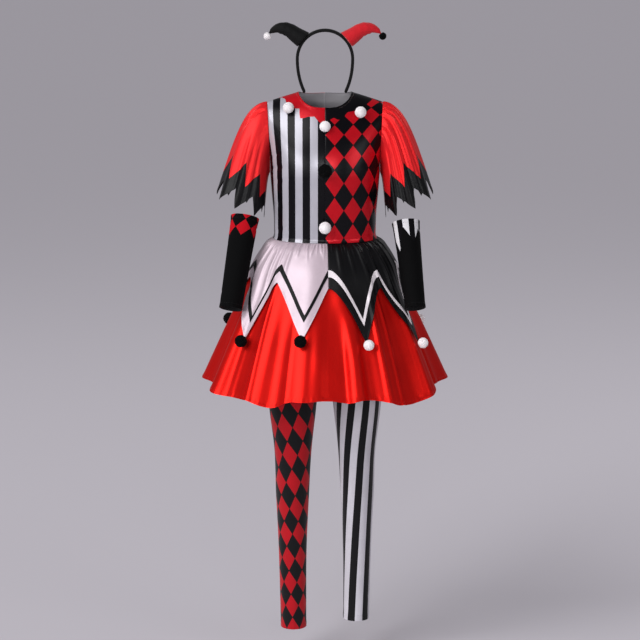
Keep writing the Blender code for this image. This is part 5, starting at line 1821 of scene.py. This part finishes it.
def place_on(surface, a, b, outward):
    """One point of a surface with its unit normal."""
    a, b = np.array([[a]]), np.array([[b]])
    return surface(a, b)[0, 0], facing(surface, a, b, outward)[0, 0]


def make_pompoms():
    """Five pompoms down the bodice, one at each point of the overskirt and one on each horn."""
    places = []
    for row in BODICE_POMPOMS:
        surface = mirrored(lambda a, b: torso(a, b, False), "right" if row.angle < 0 else "left")
        point, out = place_on(surface, math.radians(abs(row.angle)), row.level, row.angle >= 0)
        rest = row.radius * CORE_SHARE + SOLID_GAP
        places.append((row.name, row.colour, row.radius, point + out * rest, out))
    for side, points, colour, radius in (
        ("right", RIGHT_POINTS, "black", RIGHT_TIP_RADIUS),
        ("left", LEFT_POINTS, "white", LEFT_TIP_RADIUS),
    ):
        stand = math.sqrt((radius * CORE_SHARE + SOLID_GAP) ** 2 - TIP_POMPOM_SLIDE**2)
        for number, row in enumerate(points, 1):
            tip, out = place_on(outer_form, math.radians(row.tip), row.tip_drop, False)
            below, _ = place_on(outer_form, math.radians(row.tip), row.tip_drop + 10, False)
            centre = tip + out * stand + unit(below - tip) * TIP_POMPOM_SLIDE
            places.append((f"pompom_tip_{side}_{number}", colour, radius, centre, out))
    for side, colour in (("right", "white"), ("left", "black")):
        flip = -1.0 if side == "right" else 1.0
        tip = np.array([flip * HORN[-1].x, BAND_Y, HORN[-1].z])
        way = np.array([flip * HORN_TIP_WAY[0], 0.0, HORN_TIP_WAY[1]])
        centre = tip + way * (HORN_POMPOM_RADIUS * CORE_SHARE + SOLID_GAP)
        places.append((f"pompom_horn_{side}", colour, HORN_POMPOM_RADIUS, centre, unit(way)))
    for seed, (name, colour, radius, centre, out) in enumerate(places):
        mesh = pompom_mesh(f"{name}_yarn", radius, centre, out, 100 + seed)
        finish_piece(f"{name}_yarn", mesh, [finish(f"{colour}_yarn")], [name])


# ---- stage
CAMERA_PLACE, CAMERA_TILT, CAMERA_LENS = (-0.01325, -7.13035, 0.84685), 78.4, 151.875
FLOOR_HALF, LIGHT_TARGET, SKY = 80.0, Vector((0.0, 0.0, -0.45)), (0.95, 0.93, 1.0, 1)
# Soft boxes: places and sizes in metres, and shares of the front or back lights' power.
SoftBox = namedtuple("SoftBox", "name place across high power share")
SOFT_BOXES = table_of(
    SoftBox,
    ("front_light", (0.0, -4.8, 0.12), 2.6, 0.5, "fill", 1.0),
    ("front_light_right", (-3.3, -3.3, 0.12), 2.6, 0.8, "fill", 1.0),
    ("front_light_left", (3.5, -3.1, 0.2), 2.0, 1.2, "fill", 0.55),
    ("back_light_left", (3.3, 2.9, 2.4), 1.6, 1.6, "rim", 1.0),
    ("back_light_right", (-3.3, 2.9, 2.4), 1.6, 1.6, "rim", 0.7),
)
TOP_LIGHT_FROM, TOP_LIGHT_ANGLE = Vector((-1.5, -1.35, 1.45)), math.radians(44)


def make_stage():
    """A wide pale floor, light all round and broad light from above, a long low soft box ahead
    that draws the shine across the bust, one at each front side and two behind for the edges,
    and the camera."""
    settings = bpy.context.scene.costume_stage
    mesh = bpy.data.meshes.new("floor")
    x, y, z = FLOOR_HALF, FLOOR_HALF, settings.floor_height
    mesh.from_pydata([(-x, -y, z), (x, -y, z), (x, y, z), (-x, y, z)], [], [(0, 1, 2, 3)])
    floor = new_object("floor", mesh)
    # Matt paint on plaster: pale, even and without gloss.
    material = new_material("matt_painted_floor")
    shader = add(
        material, "ShaderNodeBsdfPrincipled",
        {"Base Color": (*settings.floor, 1), "Roughness": 0.95, "Specular IOR Level": 0.1},
    )
    add(material, "ShaderNodeOutputMaterial", {}, {"Surface": shader.outputs[0]})
    mesh.materials.append(material)

    world = bpy.data.worlds.new("studio")
    world.use_nodes = True
    background = world.node_tree.nodes["Background"]
    background.inputs["Color"].default_value = SKY
    background.inputs["Strength"].default_value = settings.surround
    bpy.context.scene.world = world
    bpy.context.scene.view_settings.view_transform = "Standard"

    for box in SOFT_BOXES:
        data = bpy.data.lights.new(box.name, "AREA")
        data.shape, data.size, data.size_y = "RECTANGLE", box.across, box.high
        data.energy = getattr(settings, box.power) * box.share
        light = new_object(box.name, data)
        light.location = box.place
        away = Vector(box.place) - LIGHT_TARGET
        light.rotation_euler = away.to_track_quat("Z", "Y").to_euler()
    data = bpy.data.lights.new("top_light", "SUN")
    data.energy, data.angle = settings.key, TOP_LIGHT_ANGLE
    light = new_object("top_light", data)
    light.rotation_euler = TOP_LIGHT_FROM.to_track_quat("Z", "Y").to_euler()

    data = bpy.data.cameras.new("camera")
    data.lens, data.sensor_width, data.clip_end = CAMERA_LENS, 36.0, 200.0
    camera = new_object("camera", data)
    camera.location = CAMERA_PLACE
    camera.rotation_euler = (math.radians(CAMERA_TILT), 0.0, 0.0)
    bpy.context.scene.camera = camera


# ---- operators and panel
class COSTUME_OT_bodice(bpy.types.Operator):
    """Sew the four printed quarters of the bodice"""

    bl_idname = "costume.bodice"
    bl_label = "Bodice"

    def execute(self, context):
        make_bodice()
        return {"FINISHED"}


class COSTUME_OT_sleeves(bpy.types.Operator):
    """Sew the gathered sleeves and their pointed edges"""

    bl_idname = "costume.sleeves"
    bl_label = "Sleeves"

    def execute(self, context):
        make_sleeves()
        return {"FINISHED"}


class COSTUME_OT_skirt(bpy.types.Operator):
    """Sew the flared skirt"""

    bl_idname = "costume.skirt"
    bl_label = "Skirt"

    def execute(self, context):
        make_skirt()
        return {"FINISHED"}


class COSTUME_OT_overskirt(bpy.types.Operator):
    """Sew the pointed overskirt and its ribbon lines"""

    bl_idname = "costume.overskirt"
    bl_label = "Overskirt"

    def execute(self, context):
        make_overskirt()
        return {"FINISHED"}


class COSTUME_OT_leggings(bpy.types.Operator):
    """Sew the printed leggings and their waistband"""

    bl_idname = "costume.leggings"
    bl_label = "Leggings"

    def execute(self, context):
        make_leggings()
        return {"FINISHED"}


class COSTUME_OT_arm_warmers(bpy.types.Operator):
    """Sew the two arm warmers"""

    bl_idname = "costume.arm_warmers"
    bl_label = "Arm warmers"

    def execute(self, context):
        make_arm_warmers()
        return {"FINISHED"}


class COSTUME_OT_headband(bpy.types.Operator):
    """Cover the headband and stuff its horns"""

    bl_idname = "costume.headband"
    bl_label = "Headband and horns"

    def execute(self, context):
        make_headband()
        make_horns()
        return {"FINISHED"}


class COSTUME_OT_pompoms(bpy.types.Operator):
    """Tie the yarn pompoms"""

    bl_idname = "costume.pompoms"
    bl_label = "Pompoms"

    def execute(self, context):
        make_pompoms()
        return {"FINISHED"}


class COSTUME_OT_stage(bpy.types.Operator):
    """Lay the floor and set up the lights and the camera"""

    bl_idname = "costume.stage"
    bl_label = "Stage"

    def execute(self, context):
        make_stage()
        return {"FINISHED"}


OPERATORS = (
    COSTUME_OT_bodice,
    COSTUME_OT_sleeves,
    COSTUME_OT_skirt,
    COSTUME_OT_overskirt,
    COSTUME_OT_leggings,
    COSTUME_OT_arm_warmers,
    COSTUME_OT_headband,
    COSTUME_OT_pompoms,
    COSTUME_OT_stage,
)
GROUPS = {
    "costume_cloth": CostumeCloth,
    "costume_prints": CostumePrints,
    "costume_colours": CostumeColours,
    "costume_yarn": CostumeYarn,
    "costume_stage": CostumeStage,
}


class COSTUME_PT_panel(bpy.types.Panel):
    """Sizes, colours and the steps that sew the costume"""

    bl_idname = "COSTUME_PT_panel"
    bl_label = "Clown costume"
    bl_space_type = "VIEW_3D"
    bl_region_type = "UI"
    bl_category = "Costume"

    def draw(self, context):
        for group in GROUPS:
            box = self.layout.box()
            settings = getattr(context.scene, group)
            for name in settings.__annotations__:
                box.prop(settings, name)
        for operator in OPERATORS:
            self.layout.operator(operator.bl_idname)


def register():
    for name, group in GROUPS.items():
        bpy.utils.register_class(group)
        setattr(bpy.types.Scene, name, PointerProperty(type=group))
    for operator in OPERATORS:
        bpy.utils.register_class(operator)
    bpy.utils.register_class(COSTUME_PT_panel)


def unregister():
    bpy.utils.unregister_class(COSTUME_PT_panel)
    for operator in reversed(OPERATORS):
        bpy.utils.unregister_class(operator)
    for name, group in GROUPS.items():
        delattr(bpy.types.Scene, name)
        bpy.utils.unregister_class(group)


def main():
    """Makes every piece and the stage."""
    register()
    for operator in OPERATORS:
        category, name = operator.bl_idname.split(".")
        getattr(getattr(bpy.ops, category), name)()


if __name__ == "__main__":
    main()
